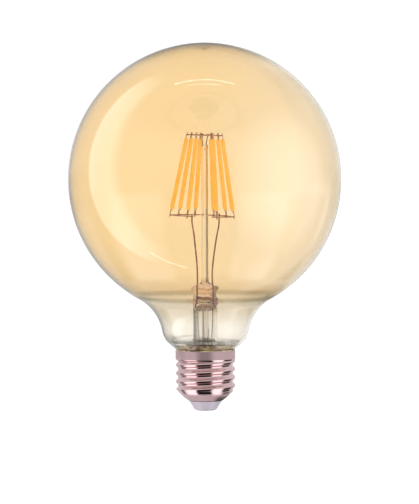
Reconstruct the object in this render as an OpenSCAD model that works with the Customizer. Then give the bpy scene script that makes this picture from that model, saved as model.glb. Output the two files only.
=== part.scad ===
// Smart LED filament globe bulb with an E27 screw cap, in millimetres.
// The cap points down. The origin is the centre of the flat contact under the cap, and +Z runs up the axis.

/* [Globe] */
// Diameter of the blown glass globe
globe_d = 120; // [118:0.5:122]
// Height of the whole bulb over its contact face
bulb_h = 161.5; // [160:0.5:164]
// Wall of the blown glass
glass_t = 0.8; // [0.7:0.05:1]
// Steepness of the globe where the hollow of the neck begins, from the axis
hollow_from = 61; // [60:0.5:62]
// Steepness of the neck's straight side, from the axis
neck_taper = 13; // [12:0.5:14]
// Steepness of the neck where it dips into the cap, from the axis
neck_dip = 50; // [48:0.5:52]

/* [Stem] */
// Outside diameter of the flared stem tube
stem_d = 10.6; // [10:0.1:11]
// Height at which the stem tube is pinched shut
pinch_z = 46; // [43:0.5:48]
// Diameter of the solid glass support rod
rod_d = 3; // [2.6:0.1:3.4]
// Height of the top of the support rod
rod_top = 116.9; // [116:0.1:118]

/* [Filament cage] */
// Radius of the wire frame at the top of the cage
cage_top_r = 7.6; // [7:0.1:7.8]
// Radius of the two half frames at the bottom of the cage
cage_low_r = 14; // [13.8:0.1:14.4]
// Height of the lower frames
cage_low_z = 85.5; // [84.5:0.1:86]
// Lean of the whole cage to the right at its top, in degrees
cage_tilt = 2; // [0:0.1:3]
// Diameter of the yellow coating of a filament
coat_d = 1.9; // [1.8:0.05:2]
// Length of a whole filament with its tabs
filament_l = 38; // [37.5:0.1:38.5]

/* [Cap] */
// Outside diameter of the plain rim band
rim_d = 26.4; // [26.3:0.05:26.45]
// Diameter over the crests of the screw thread
thread_d = 26.3; // [26.1:0.05:26.35]
// Height of the top edge of the metal shell
rim_z = 26.5; // [26.3:0.1:26.6]
// Thickness of the rolled metal of the thread
sheet_t = 0.25; // [0.2:0.01:0.28]

/* [Hidden] */
$fn = 96;
FILAMENTS = 8;
// Places of the filaments round the cage, in two strings of four
string_angles = [[103, 137, 189, 243], [297, 348, 402, 429]];
lead_angles = [251, 55];
anchor_angles = [261, 78];
filament_angles = concat(string_angles[0], string_angles[1]);

// The envelope is a chain of arcs that run into each other, from the top of the globe down to the neck's end.
globe_r = globe_d / 2;
globe_c = [0, bulb_h - globe_r];
hollow_r = 20;
side_l = 2;
belly_r = 8.5;
dip_r = 1.2;
neck_r = 12.15;
neck_end = 22.2;
hollow_c = globe_c + (globe_r + hollow_r) * [cos(hollow_from), -sin(hollow_from)];
side_end = hollow_c + hollow_r * [-cos(neck_taper), sin(neck_taper)] - side_l * [sin(neck_taper), cos(neck_taper)];
belly_c = side_end + belly_r * [-cos(neck_taper), sin(neck_taper)];
belly_end = belly_c + belly_r * [cos(neck_dip), -sin(neck_dip)];
dip_l = (belly_end.x - dip_r * (1 - cos(neck_dip)) - neck_r) / sin(neck_dip);
dip_c = belly_end - dip_l * [sin(neck_dip), cos(neck_dip)] + dip_r * [cos(neck_dip), -sin(neck_dip)];

// Stem
stem_r = stem_d / 2;
stem_t = 0.9;
flare_r = 1.2;
flare_z = 31.4;
flare_turn = 86;
seal_z = 29.2;
seal_t = 0.9;
pinch_h = 9.1;
pinch_half_w = 6.2;
pinch_half_t = 2.5;
seal_x = 3.3;
seal_r = 0.3;
exhaust_r = 1.45;
exhaust_bore_r = 0.9;
exhaust_tip_z = 17.8;
rod_seat = 52.5;
anchor_r = 0.25;
anchor_x = 0.7;
anchor_seat = 116;

// Cage
frame_r = 0.24;
lead_r = 0.35;
tab_end = 1;
weld_l = filament_l - 2 * tab_end;
lean = asin((cage_low_r - cage_top_r) / weld_l);
cage_top_z = cage_low_z + weld_l * cos(lean);
cage_mid = [-0.5, 0, (cage_low_z + cage_top_z) / 2];
strip_t = 0.35;
axis_out = frame_r - strip_t / 2;
strip_w = 1;
tab_t = 0.25;
tab_w = 0.8;
tab_l = 4.2;
coat_from = 2.6;
coat_end = 1.6;
chip_t = 0.15;
CHIPS = 24;
chip_pitch = 1.2;

// Cap
pitch = 3.629;
thread_arc = 1.025;
thread_deep = 1.1;
crest_z = 18.19;
thread_from = 8.4;
thread_to = 21.9;
rim_from = 22.6;
rim_t = 0.35;
lip_z = 4.2;
lip_r = 7.4;
shoulder_r = 25;
shoulder_rise = 34;
contact_r = 4.4;
contact_h = 0.7;
cement_top = 26.3;
bank_r = 6.3;
bank_z = 26.6;
bank_top = 28.6;
thread_cols = 36;
thread_rows = 37;
shoulder_rows = 6;

// Driver
board_r = 10.7;
board_z = 15.2;
board_t = 1;
board_top = board_z + board_t;

// Points along an arc about c, from angle a0 to a1 in n steps
function arc(c, r, a0, a1, n) = [
    for (i = [0:n]) let (a = a0 + (a1 - a0) * i / n) c + r * [cos(a), sin(a)]
];

// The envelope's outline, a depth t inside the glass's outer face
function envelope(t) = concat(
    arc(globe_c, globe_r - t, 90, -hollow_from, 40),
    arc(hollow_c, hollow_r + t, 180 - hollow_from + 5, 180 - neck_taper, 9),
    arc(belly_c, belly_r - t, -neck_taper, -neck_dip, 7),
    arc(dip_c, dip_r + t, 180 - neck_dip, 180, 5),
    [[neck_r - t, neck_end]]
);

// Radius of the glass's inner face at height z, where the neck dips straight into the cap
function dip_inside(z) = let (
        top = belly_c + (belly_r - glass_t) * [cos(neck_dip), -sin(neck_dip)]
    ) top.x - (top.y - z) * tan(neck_dip);

// The same points in the opposite order
function backwards(p) = [for (i = [len(p) - 1:-1:0]) p[i]];

// A vector of length 1
function unit(v) = v / norm(v);

// Direction of a path at its point i, the mean of the steps on its two sides
function heading(p, i, closed) = let (
        n = len(p),
        before = i > 0 ? p[i] - p[i - 1] : closed ? p[0] - p[n - 1] : p[1] - p[0],
        after = i < n - 1 ? p[i + 1] - p[i] : closed ? p[0] - p[n - 1] : p[n - 1] - p[n - 2]
    ) unit(unit(before) + unit(after));

// A smooth curve through the points p, with n steps between each two
function curve(p, n) = concat(
    [for (i = [0:len(p) - 2], k = [0:n - 1]) let (
            a = p[max(i - 1, 0)],
            b = p[i],
            c = p[i + 1],
            d = p[min(i + 2, len(p) - 1)],
            u = k / n
        ) 0.5 * (2 * b + (c - a) * u + (2 * a - 5 * b + 4 * c - d) * u * u + (3 * b - a - 3 * c + d) * u * u * u)],
    [p[len(p) - 1]]
);

// A round wire of radius r along the path p; side is any direction that the path never takes
module wire(p, r, side = [1, 0, 0], sides = 8, closed = false) {
    n = len(p);
    rings = [for (i = [0:n - 1]) let (
            t = heading(p, i, closed),
            u = unit(cross(t, cross(side, t))),
            v = cross(t, u)
        ) for (j = [0:sides - 1]) p[i] + r * (cos(360 * j / sides) * u + sin(360 * j / sides) * v)];
    skin = [for (i = [0:n - (closed ? 1 : 2)], j = [0:sides - 1]) let (
            here = i * sides,
            next = ((i + 1) % n) * sides,
            k = (j + 1) % sides
        ) each [[here + j, next + j, next + k], [here + j, next + k, here + k]]];
    ends = closed ? [] : [[for (j = [0:sides - 1]) j], [for (j = [sides - 1:-1:0]) (n - 1) * sides + j]];
    polyhedron(points = rings, faces = concat(skin, ends), convexity = 4);
}

// A point of the untilted cage, where the tilt carries it
function caged(p) = let (q = p - [0, 0, cage_mid.z]) cage_mid + [
    q.x * cos(cage_tilt) + q.z * sin(cage_tilt),
    q.y,
    q.z * cos(cage_tilt) - q.x * sin(cage_tilt)
];

// A point on a level ring of the cage
function ring_point(r, a, z) = caged([r * cos(a), r * sin(a), z]);

// How far out a straight frame wire lies at angle a, between its corners at a0 and a1 on radius r
function chord_r(r, a0, a1, a) = r * cos((a1 - a0) / 2) / cos(a - (a0 + a1) / 2);

// Puts its children in the frame of the filament at angle a: +Z along it from the lower weld, +X outwards
module at_filament(a) {
    translate(cage_mid) rotate([0, cage_tilt, 0]) translate([0, 0, cage_low_z - cage_mid.z])
        rotate([0, 0, a]) translate([cage_low_r + axis_out, 0, 0]) rotate([0, -lean, 0]) children();
}

module glass_globe() {
    color([0.96, 0.84, 0.6, 0.4])
        rotate_extrude() polygon(concat(envelope(0), backwards(envelope(glass_t))));
}

// The flared tube with its flattened press seal, drilled for the wires, the exhaust tube and the rod
module stem_tube() {
    top_z = pinch_z + pinch_h;
    flare_c = [stem_r + flare_r, flare_z];
    upper = arc(flare_c, flare_r, 180, 180 + flare_turn, 10);
    lower = arc(flare_c, flare_r + stem_t, 180 + flare_turn, 180, 10);
    rim = [for (z = [seal_z + seal_t, seal_z]) [dip_inside(z), z]];
    color([0.9, 0.94, 0.9, 0.5]) difference() {
        union() {
            rotate_extrude() polygon(concat([[stem_r, pinch_z]], upper, rim, lower, [[stem_r - stem_t, pinch_z]]));
            intersection() {
                rotate([90, 0, 0]) linear_extrude(20, center = true) polygon([
                    [-stem_r, pinch_z], [stem_r, pinch_z], [pinch_half_w, pinch_z + 3.5],
                    [pinch_half_w, top_z - 1.8], [pinch_half_w - 1.3, top_z],
                    [1.3 - pinch_half_w, top_z], [-pinch_half_w, top_z - 1.8], [-pinch_half_w, pinch_z + 3.5]
                ]);
                rotate([90, 0, 90]) linear_extrude(20, center = true) polygon([
                    [-stem_r, pinch_z], [stem_r, pinch_z], [pinch_half_t + 0.1, pinch_z + 4],
                    [pinch_half_t, top_z - 1.2], [pinch_half_t - 0.8, top_z],
                    [0.8 - pinch_half_t, top_z], [-pinch_half_t, top_z - 1.2], [-pinch_half_t - 0.1, pinch_z + 4]
                ]);
                rotate_extrude() polygon([
                    [0, pinch_z], [stem_r, pinch_z], [pinch_half_w + 0.1, pinch_z + 3.5],
                    [pinch_half_w + 0.1, top_z], [0, top_z]
                ]);
            }
        }
        for (x = [-seal_x, seal_x]) translate([x, 0, pinch_z - 1]) cylinder(r = seal_r, h = pinch_h + 2);
        translate([0, 0, pinch_z - 1]) cylinder(r = exhaust_r, h = 3.4);
        translate([0, 0, pinch_z + 2]) cylinder(r = exhaust_bore_r, h = 2.4);
        translate([0, 0, pinch_z + 3.6]) rotate([90, 0, 0]) cylinder(r = 0.8, h = 8);
        translate([0, 0, rod_seat]) cylinder(r = rod_d / 2, h = 4);
    }
}

module exhaust_tube() {
    top_z = pinch_z + 2.4;
    color([0.9, 0.94, 0.9, 0.5]) rotate_extrude() polygon([
        [0, exhaust_tip_z], [0.5, exhaust_tip_z + 0.2], [1.1, exhaust_tip_z + 1.2], [exhaust_r, exhaust_tip_z + 2.6],
        [exhaust_r, top_z], [exhaust_bore_r, top_z], [exhaust_bore_r, exhaust_tip_z + 2.8],
        [0.4, exhaust_tip_z + 1.4], [0, exhaust_tip_z + 1.1]
    ]);
}

module support_rod() {
    color([0.9, 0.94, 0.9, 0.5]) difference() {
        rotate_extrude() polygon(concat(
            [[0, rod_seat], [rod_d / 2, rod_seat]],
            arc([rod_d / 2 - 0.7, rod_top - 0.7], 0.7, 0, 90, 5),
            [[0, rod_top]]
        ));
        for (x = [-anchor_x, anchor_x]) translate([x, 0, anchor_seat]) cylinder(r = anchor_r, h = 5);
    }
}

// The oxide-red wire sealed through the pinch; side is -1 on the left and 1 on the right
module dumet_seal(side) {
    color([0.45, 0.16, 0.1]) translate([side * seal_x, 0, pinch_z - 1]) cylinder(r = seal_r, h = pinch_h + 1.6);
}

// The wire from a seal up to its half frame, which it meets on the frame's inner side
module inner_lead(side) {
    foot = [side * seal_x, 0, pinch_z + pinch_h + 0.6];
    weld = 0.96 * (frame_r + lead_r);
    left_r = cage_low_r - weld;
    right_r = chord_r(cage_low_r, 42, 69, lead_angles[1]) - weld;
    left = [
        foot, [-3.35, -0.5, 58], [-3.5, -2.5, 64], [-4.15, -6.2, 71.5], [-4.8, -9.6, 78],
        ring_point(left_r, lead_angles[0], cage_low_z - 2.4), ring_point(left_r, lead_angles[0], cage_low_z + 0.9)
    ];
    right = [
        foot, [3.2, 0.5, 57.5], [3.25, 1.6, 62], [4, 4, 68.5], [5.1, 7.2, 75.5],
        ring_point(right_r, lead_angles[1], cage_low_z - 4), ring_point(right_r, lead_angles[1], cage_low_z + 0.9)
    ];
    color([0.55, 0.36, 0.26]) wire(curve(side < 0 ? left : right, 4), lead_r);
}

// The wire from a seal down through the stem tube to the driver board
module outer_lead(side) {
    path = [
        [side * seal_x, 0, pinch_z - 1], [side * 3.25, 0, 40], [side * 3.1, 0.2, 36],
        [side * 2.7, 0.1, 30], [side * 2.6, 0, 24], [side * 2.6, 0, board_top]
    ];
    color([0.55, 0.52, 0.5]) wire(curve(path, 4), 0.25);
}

// A wire from the top of the rod to the top frame; side is -1 at the front and 1 at the back
module rod_anchor(side) {
    a = anchor_angles[side < 0 ? 0 : 1];
    frame_at = side < 0 ? chord_r(cage_top_r, 243, 297, a) : chord_r(cage_top_r, 69, 103, a);
    top = ring_point(frame_at - 0.35, a, cage_top_z + 0.33);
    foot = [side * anchor_x, 0, anchor_seat];
    path = [foot, [foot.x, 0, rod_top], [foot.x * 1.4, side * 1.6, rod_top + 1.4], top];
    color([0.5, 0.4, 0.36]) wire(concat([foot], curve([path[1], path[2], path[3]], 4)), anchor_r);
}

module top_frame() {
    path = [for (a = filament_angles) ring_point(cage_top_r, a, cage_top_z)];
    color([0.5, 0.36, 0.28]) wire(path, frame_r, [0, 0, 1], closed = true);
}

// The wire that joins the lower tabs of one string of filaments; it runs a little past the two outer ones
module lower_frame(string) {
    a = string_angles[string];
    past = 10;
    path = [for (b = concat([a[0] - past], a, [a[3] + past])) ring_point(cage_low_r, b, cage_low_z)];
    color([0.5, 0.36, 0.28]) wire(path, frame_r, [0, 0, 1]);
}

// The yellow silicone over one filament, with the slot that holds its strip and chips
module filament_coat(i) {
    edge = 0.35;
    l = weld_l - coat_from - coat_end;
    color([0.98, 0.72, 0.22]) at_filament(filament_angles[i]) difference() {
        translate([0, 0, coat_from]) rotate_extrude() polygon(concat(
            [[0, 0]],
            arc([coat_d / 2 - edge, edge], edge, -90, 0, 3),
            arc([coat_d / 2 - edge, l - edge], edge, 0, 90, 3),
            [[0, l]]
        ));
        translate([-strip_t / 2, -strip_w / 2, 0]) cube([strip_t + tab_t, strip_w, weld_l]);
    }
}

// The flat carrier inside one filament
module filament_strip(i) {
    color([0.92, 0.92, 0.88]) at_filament(filament_angles[i])
        translate([-strip_t / 2, -strip_w / 2, 2]) cube([strip_t, strip_w, weld_l - 4]);
}

// The two metal tabs of one filament, each lapped on its carrier's outer face
module filament_tabs(i) {
    color([0.5, 0.34, 0.3]) at_filament(filament_angles[i])
        for (z = [-tab_end, weld_l + tab_end - tab_l])
            translate([strip_t / 2, -tab_w / 2, z]) cube([tab_t, tab_w, tab_l]);
}

// The light-emitting chips in a row on every carrier
module led_chips() {
    color([0.4, 0.5, 0.75]) for (a = filament_angles) at_filament(a)
        for (k = [0:CHIPS - 1])
            translate([strip_t / 2, -0.25, weld_l / 2 + (k - (CHIPS - 1) / 2) * chip_pitch - 0.45])
                cube([chip_t, 0.5, 0.9]);
}

// Radius of the round shoulder over the lip at height z; above the shoulder it stays at its widest
function shoulder(z) = let (
        c = [lip_r - shoulder_r * sin(shoulder_rise), lip_z + shoulder_r * cos(shoulder_rise)],
        below = max(c.y - z, 0)
    ) c.x + sqrt(shoulder_r * shoulder_r - below * below);

// How far the thread stands out of its mean radius, a distance u along the axis from a crest
function wave(u) = let (v = abs(u)) v < pitch / 4
    ? thread_deep / 2 - thread_arc + sqrt(thread_arc * thread_arc - v * v)
    : thread_arc - thread_deep / 2 - sqrt(thread_arc * thread_arc - pow(pitch / 2 - v, 2));

// Distance along the axis from height z to the nearest crest, at angle a
function from_crest(a, z) = let (u = (z - crest_z) / pitch - a / 360) (u - round(u)) * pitch;

// Outside radius of the metal shell below its rim band
function shell_r(a, z) = let (
        screw = thread_d / 2 - thread_deep / 2 + wave(from_crest(a, z)),
        blend = min(max((z - thread_to) / (rim_from - thread_to), 0), 1)
    ) min(screw * (1 - blend) + thread_d / 2 * blend, shoulder(z));

// The rolled thread and shoulder as one closed sheet of metal
module rolled_thread() {
    heights = concat(
        [for (i = [0:shoulder_rows - 1]) lip_z + (thread_from - lip_z) * i / shoulder_rows],
        [for (i = [0:thread_rows]) thread_from + (thread_to - thread_from) * i / thread_rows],
        [rim_from, rim_from + 0.3]
    );
    rows = len(heights);
    n = thread_cols;
    sheet = [for (inside = [0, 1], z = heights, j = [0:n - 1]) let (
            a = 360 * j / n,
            wall = z < thread_from ? sheet_t * 1.5 : sheet_t,
            r = shell_r(a, z) - inside * wall
        ) [r * cos(a), r * sin(a), z]];
    inner = rows * n;
    walls = [for (i = [0:rows - 2], j = [0:n - 1]) let (
            k = (j + 1) % n,
            p = i * n + j,
            q = i * n + k
        ) each [
            [p, p + n, q + n], [p, q + n, q],
            [inner + p, inner + q + n, inner + p + n], [inner + p, inner + q, inner + q + n]
        ]];
    top = (rows - 1) * n;
    edges = [for (j = [0:n - 1]) let (k = (j + 1) % n) each [
            [j, k, inner + k], [j, inner + k, inner + j],
            [top + j, inner + top + j, inner + top + k], [top + j, inner + top + k, top + k]
        ]];
    polyhedron(points = sheet, faces = concat(walls, edges), convexity = 10);
}

module screw_shell() {
    color([0.8, 0.72, 0.72]) union() {
        rolled_thread();
        translate([0, 0, rim_from]) difference() {
            cylinder(d = rim_d, h = rim_z - rim_from);
            translate([0, 0, -1]) cylinder(r = rim_d / 2 - rim_t, h = 10);
        }
    }
}

// The white plug that keeps the contact apart from the shell, with a groove that the shell's lip closes on
module cap_insulator() {
    color([0.86, 0.84, 0.88]) rotate_extrude() polygon([
        [1.35, contact_h], [contact_r + 0.15, contact_h], [contact_r + 0.3, 0.35], [contact_r + 0.7, 0.75],
        [5.65, 1.6], [7.3, lip_z], [6.95, lip_z], [6.95, lip_z + 0.1], [8, 5], [9.4, 6.4],
        [0.6, 6.4], [0.6, 4.4], [1.35, 4.2]
    ]);
}

// The metal plate under the cap with its hollow stem
module centre_contact() {
    color([0.5, 0.48, 0.5]) rotate_extrude() polygon([
        [0, 0], [contact_r - 0.5, 0], [contact_r - 0.15, 0.12], [contact_r, 0.4], [contact_r, contact_h],
        [1.35, contact_h], [1.35, 4.2], [0.35, 4.2], [0.35, 1], [0, 1]
    ]);
}

// The ring of cement between the glass neck and the shell's rim, and the bank of it inside the neck under the flare
module base_cement() {
    color([0.8, 0.78, 0.72]) {
        difference() {
            translate([0, 0, rim_from]) cylinder(r = rim_d / 2 - rim_t, h = cement_top - rim_from);
            rotate_extrude() polygon(concat([[0, globe_c.y]], envelope(0), [[0, neck_end]]));
        }
        rotate_extrude() polygon([
            [bank_r, bank_z], [dip_inside(bank_z), bank_z], [dip_inside(bank_top), bank_top],
            [bank_r + 1.5, bank_top], [bank_r, bank_top - 0.6]
        ]);
    }
}

module insulating_liner() {
    color([0.85, 0.85, 0.85]) translate([0, 0, 9]) difference() {
        cylinder(r = 11.74, h = 9.4);
        translate([0, 0, -1]) cylinder(r = board_r + 0.02, h = 12);
    }
}

// The round board, drilled for the two outer leads
module driver_board() {
    color([0.12, 0.4, 0.24]) translate([0, 0, board_z]) difference() {
        cylinder(r = board_r, h = board_t);
        for (x = [-6.8, 6.8]) translate([x, -7, -1]) cylinder(r = 0.4, h = 3);
    }
}

// A flat chip body of size s, centred on p, with n gull-wing legs on each long side
module chip(p, s, n) {
    leg = [0.4, 0.8, 0.2];
    translate(p) {
        translate([-s.x / 2, -s.y / 2, 0]) cube(s);
        for (side = [-1, 1], k = [0:n - 1])
            translate([(k - (n - 1) / 2) * s.x / n - leg.x / 2, side * (s.y / 2 + leg.y / 2) - leg.y / 2, 0])
                cube(leg);
    }
}

module bridge_rectifier() {
    color([0.12, 0.12, 0.12]) chip([0, -6.6, board_top], [4.7, 2.8, 1.6], 2);
}

module driver_chip() {
    color([0.1, 0.1, 0.11]) chip([-6.3, 2.2, board_top], [4.4, 2.8, 1.4], 4);
}

module smoothing_capacitor() {
    r = 3.15;
    color([0.16, 0.17, 0.22]) translate([-4.5, -5, board_z - r]) rotate([0, 90, 0]) rotate_extrude() polygon([
        [0, 0], [r - 0.3, 0], [r, 0.3], [r, 1], [r - 0.3, 1.3], [r, 1.6], [r, 8.7], [r - 0.3, 9], [0, 9]
    ]);
}

// A drum core with its winding
module filter_inductor() {
    color([0.22, 0.21, 0.2]) translate([5.2, 4.2, board_z - 5.6]) rotate_extrude() polygon([
        [0, 0], [3, 0], [3, 0.9], [2.6, 1.1], [2.6, 4.5], [3, 4.7], [3, 5.6], [0, 5.6]
    ]);
}

module film_capacitor() {
    color([0.72, 0.2, 0.14]) translate([-8, 2.1, board_z - 6]) cube([7, 3, 6]);
}

module fusible_resistor() {
    color([0.25, 0.5, 0.45]) translate([-0.2, 0.1, 0]) rotate_extrude() polygon([
        [0, 7.2], [0.9, 7.2], [1.3, 7.6], [1.3, 8.6], [1.1, 8.9], [1.1, 12.5], [1.3, 12.8], [1.3, 13.8],
        [0.9, 14.2], [0.25, 14.2], [0.25, board_z], [0, board_z]
    ]);
}

// Four surface-mounted resistors on the board's upper side
module board_resistors() {
    color([0.14, 0.14, 0.15]) for (a = [-38, -12, 205, 228]) rotate([0, 0, a])
        translate([6.4, -0.8, board_top]) cube([3.2, 1.6, 0.6]);
}

module wireless_board() {
    color([0.1, 0.22, 0.42]) translate([-3.2, 3.3, board_top]) cube([8.4, 5.4, 0.8]);
}

module wireless_shield() {
    color([0.75, 0.75, 0.76]) translate([-2.6, 3.8, board_top + 0.8]) cube([5.4, 4.4, 1.4]);
}

// The aerial, which rises through the flare into the stem tube to get clear of the metal shell
module antenna_wire() {
    path = [
        [4.2, 5.6, board_top + 0.8], [4, 5.2, 20], [2.9, 4, 24],
        [1.9, 3.2, 28], [1.6, 2.9, 32], [1.6, 2.9, 36]
    ];
    color([0.7, 0.66, 0.6]) wire(curve(path, 3), 0.2, sides = 6);
}

module centre_wire() {
    path = [[-0.2, 0.1, 7.2], [-0.1, 0.05, 6], [0, 0, 4.6], [0, 0, 1]];
    color([0.7, 0.66, 0.6]) wire(path, 0.3);
}

module side_wire() {
    path = [[-9.9, 0, board_top], [-10.1, 0, 18], [-10.8, 0, 19.3], [-12.65, 0, 19.95]];
    color([0.7, 0.66, 0.6]) wire(curve(path, 4), 0.25, [0, 1, 0]);
}

glass_globe();
stem_tube();
exhaust_tube();
support_rod();
dumet_seal(-1);  // dumet_seal_left
dumet_seal(1);  // dumet_seal_right
inner_lead(-1);  // inner_lead_left
inner_lead(1);  // inner_lead_right
outer_lead(-1);  // outer_lead_left
outer_lead(1);  // outer_lead_right
rod_anchor(-1);  // rod_anchor_front
rod_anchor(1);  // rod_anchor_back
top_frame();
lower_frame(0);  // lower_frame_left
lower_frame(1);  // lower_frame_right
led_chips();
for (i = [1:FILAMENTS]) {
    filament_coat(i - 1);
    filament_strip(i - 1);
    filament_tabs(i - 1);
}
screw_shell();
cap_insulator();
centre_contact();
base_cement();
insulating_liner();
driver_board();
bridge_rectifier();
smoothing_capacitor();
filter_inductor();
film_capacitor();
fusible_resistor();
driver_chip();
board_resistors();
wireless_board();
wireless_shield();
antenna_wire();
centre_wire();
side_wire();
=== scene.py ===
"""An amber globe lamp with a cage of filaments: its finishes, its fine pieces and the studio around it.

The pieces are built in millimetres on the lamp's own axis and stored in metres. The contact under the cap
is the origin, +Z runs up through the globe, and the camera looks along +Y.
"""

import logging
import math
from collections.abc import Iterable, Sequence
from dataclasses import dataclass, field
from enum import Enum
from typing import Any

import bpy
from mathutils import Matrix, Vector

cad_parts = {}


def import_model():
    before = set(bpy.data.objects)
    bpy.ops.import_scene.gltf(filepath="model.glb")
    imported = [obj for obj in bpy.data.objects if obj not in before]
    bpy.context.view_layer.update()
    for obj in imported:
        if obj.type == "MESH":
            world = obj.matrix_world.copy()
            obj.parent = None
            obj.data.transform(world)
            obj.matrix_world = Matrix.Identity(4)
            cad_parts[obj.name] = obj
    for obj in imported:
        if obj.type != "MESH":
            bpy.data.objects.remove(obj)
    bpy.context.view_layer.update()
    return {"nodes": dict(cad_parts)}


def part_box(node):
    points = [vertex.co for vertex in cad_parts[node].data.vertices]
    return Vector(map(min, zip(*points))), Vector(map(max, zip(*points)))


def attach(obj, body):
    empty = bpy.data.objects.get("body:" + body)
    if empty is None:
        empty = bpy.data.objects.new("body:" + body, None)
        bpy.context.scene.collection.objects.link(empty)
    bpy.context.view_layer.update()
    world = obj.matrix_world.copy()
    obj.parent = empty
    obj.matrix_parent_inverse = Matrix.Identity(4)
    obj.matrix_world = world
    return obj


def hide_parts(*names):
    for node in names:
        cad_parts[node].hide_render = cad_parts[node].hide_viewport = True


LOG = logging.getLogger("lamp")
MM = 0.001
BODY = "root"
FILAMENTS = range(1, 9)
GLASS_INDEX = 1.5

Colour = tuple[float, float, float]
Span = tuple[float, float]
Outline = list[tuple[float, float]]
Ring = list[tuple[float, float, float]]
Edges = Sequence[tuple[int, int]]
Socket = bpy.types.NodeSocket
Value = Socket | float | int | bool | tuple[float, ...] | str | bpy.types.Material


class Slot(Enum):
    """The material slots that pieces take their finish from."""

    GLOBE = "amber_glass"
    GLASS = "clear_glass"
    SEAL_WIRE = "copper_clad_wire"
    LEAD = "lead_wire"
    FRAME = "frame_wire"
    COAT = "phosphor_silicone"
    CARRIER = "filament_carrier"
    TAB = "filament_tab"
    CHIP = "led_chip"
    SHELL = "nickel_shell"
    INSULATOR = "insulator"
    CONTACT = "contact_metal"
    CEMENT = "base_cement"
    LINER = "liner_film"
    BOARD = "circuit_board"
    PACKAGE = "chip_package"
    CAN = "capacitor_can"
    FERRITE = "ferrite_core"
    FILM = "film_capacitor"
    RESISTOR = "resistor_body"
    RADIO_BOARD = "wireless_board"
    SHIELD = "shield_can"
    TINNED = "tinned_wire"


STOCK: dict[Slot, bpy.types.Material] = {}
"""The finished materials, by the slot that wears them."""


class Graph:
    """Adds nodes to a tree and joins them, so that a recipe reads in the order it is worked."""

    def __init__(self, tree: bpy.types.NodeTree) -> None:
        """Works on the given tree."""
        self.tree = tree

    def add(self, kind: str, feeds: dict[str | int, Value] | None = None, **settings: Any) -> bpy.types.Node:
        """Adds one node.

        Args:
            kind: The node's type name.
            feeds: What goes into its inputs, by name or place: another node's socket, or a plain value.
            settings: The node's own properties.

        Returns:
            The new node.
        """
        node = self.tree.nodes.new(kind)
        for name, value in settings.items():
            setattr(node, name, value)
        for key, value in (feeds or {}).items():
            self.feed(node.inputs[key], value)
        return node

    def feed(self, socket: Socket, value: Value) -> None:
        """Joins a socket to another one, or sets its plain value.

        Args:
            socket: The input that is fed.
            value: The other socket, or the plain value.
        """
        if isinstance(value, Socket):
            self.tree.links.new(value, socket)
        else:
            socket.default_value = value

    def math(self, operation: str, *terms: Value, clamp: bool = False) -> Socket:
        """Does one sum.

        Args:
            operation: The name of the sum, as the Math node has it.
            terms: One to three sockets or numbers.
            clamp: Whether the result is kept between 0 and 1.

        Returns:
            The result's socket.
        """
        node = self.add("ShaderNodeMath", dict(enumerate(terms)), operation=operation, use_clamp=clamp)
        return node.outputs[0]

    def ramp(self, value: Value, low: Value, high: Value, to: Span = (0.0, 1.0)) -> Socket:
        """Maps value from low..high to the range in to, along a smooth step.

        Args:
            value: What is mapped.
            low: Where the step begins.
            high: Where it ends.
            to: The results at the two ends.

        Returns:
            The result's socket.
        """
        feeds = {"Value": value, "From Min": low, "From Max": high, "To Min": to[0], "To Max": to[1]}
        node = self.add("ShaderNodeMapRange", feeds, interpolation_type="SMOOTHSTEP")
        return node.outputs["Result"]

    def between(self, value: Value, rise: Span, fall: Span) -> Socket:
        """Is 1 between two smooth steps of value, the first up and the second down."""
        return self.math("MULTIPLY", self.ramp(value, *rise), self.ramp(value, *fall, (1.0, 0.0)))

    def split(self, vector: Value) -> bpy.types.NodeOutputs:
        """The X, Y and Z of a vector, by name."""
        return self.add("ShaderNodeSeparateXYZ", {0: vector}).outputs


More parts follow.
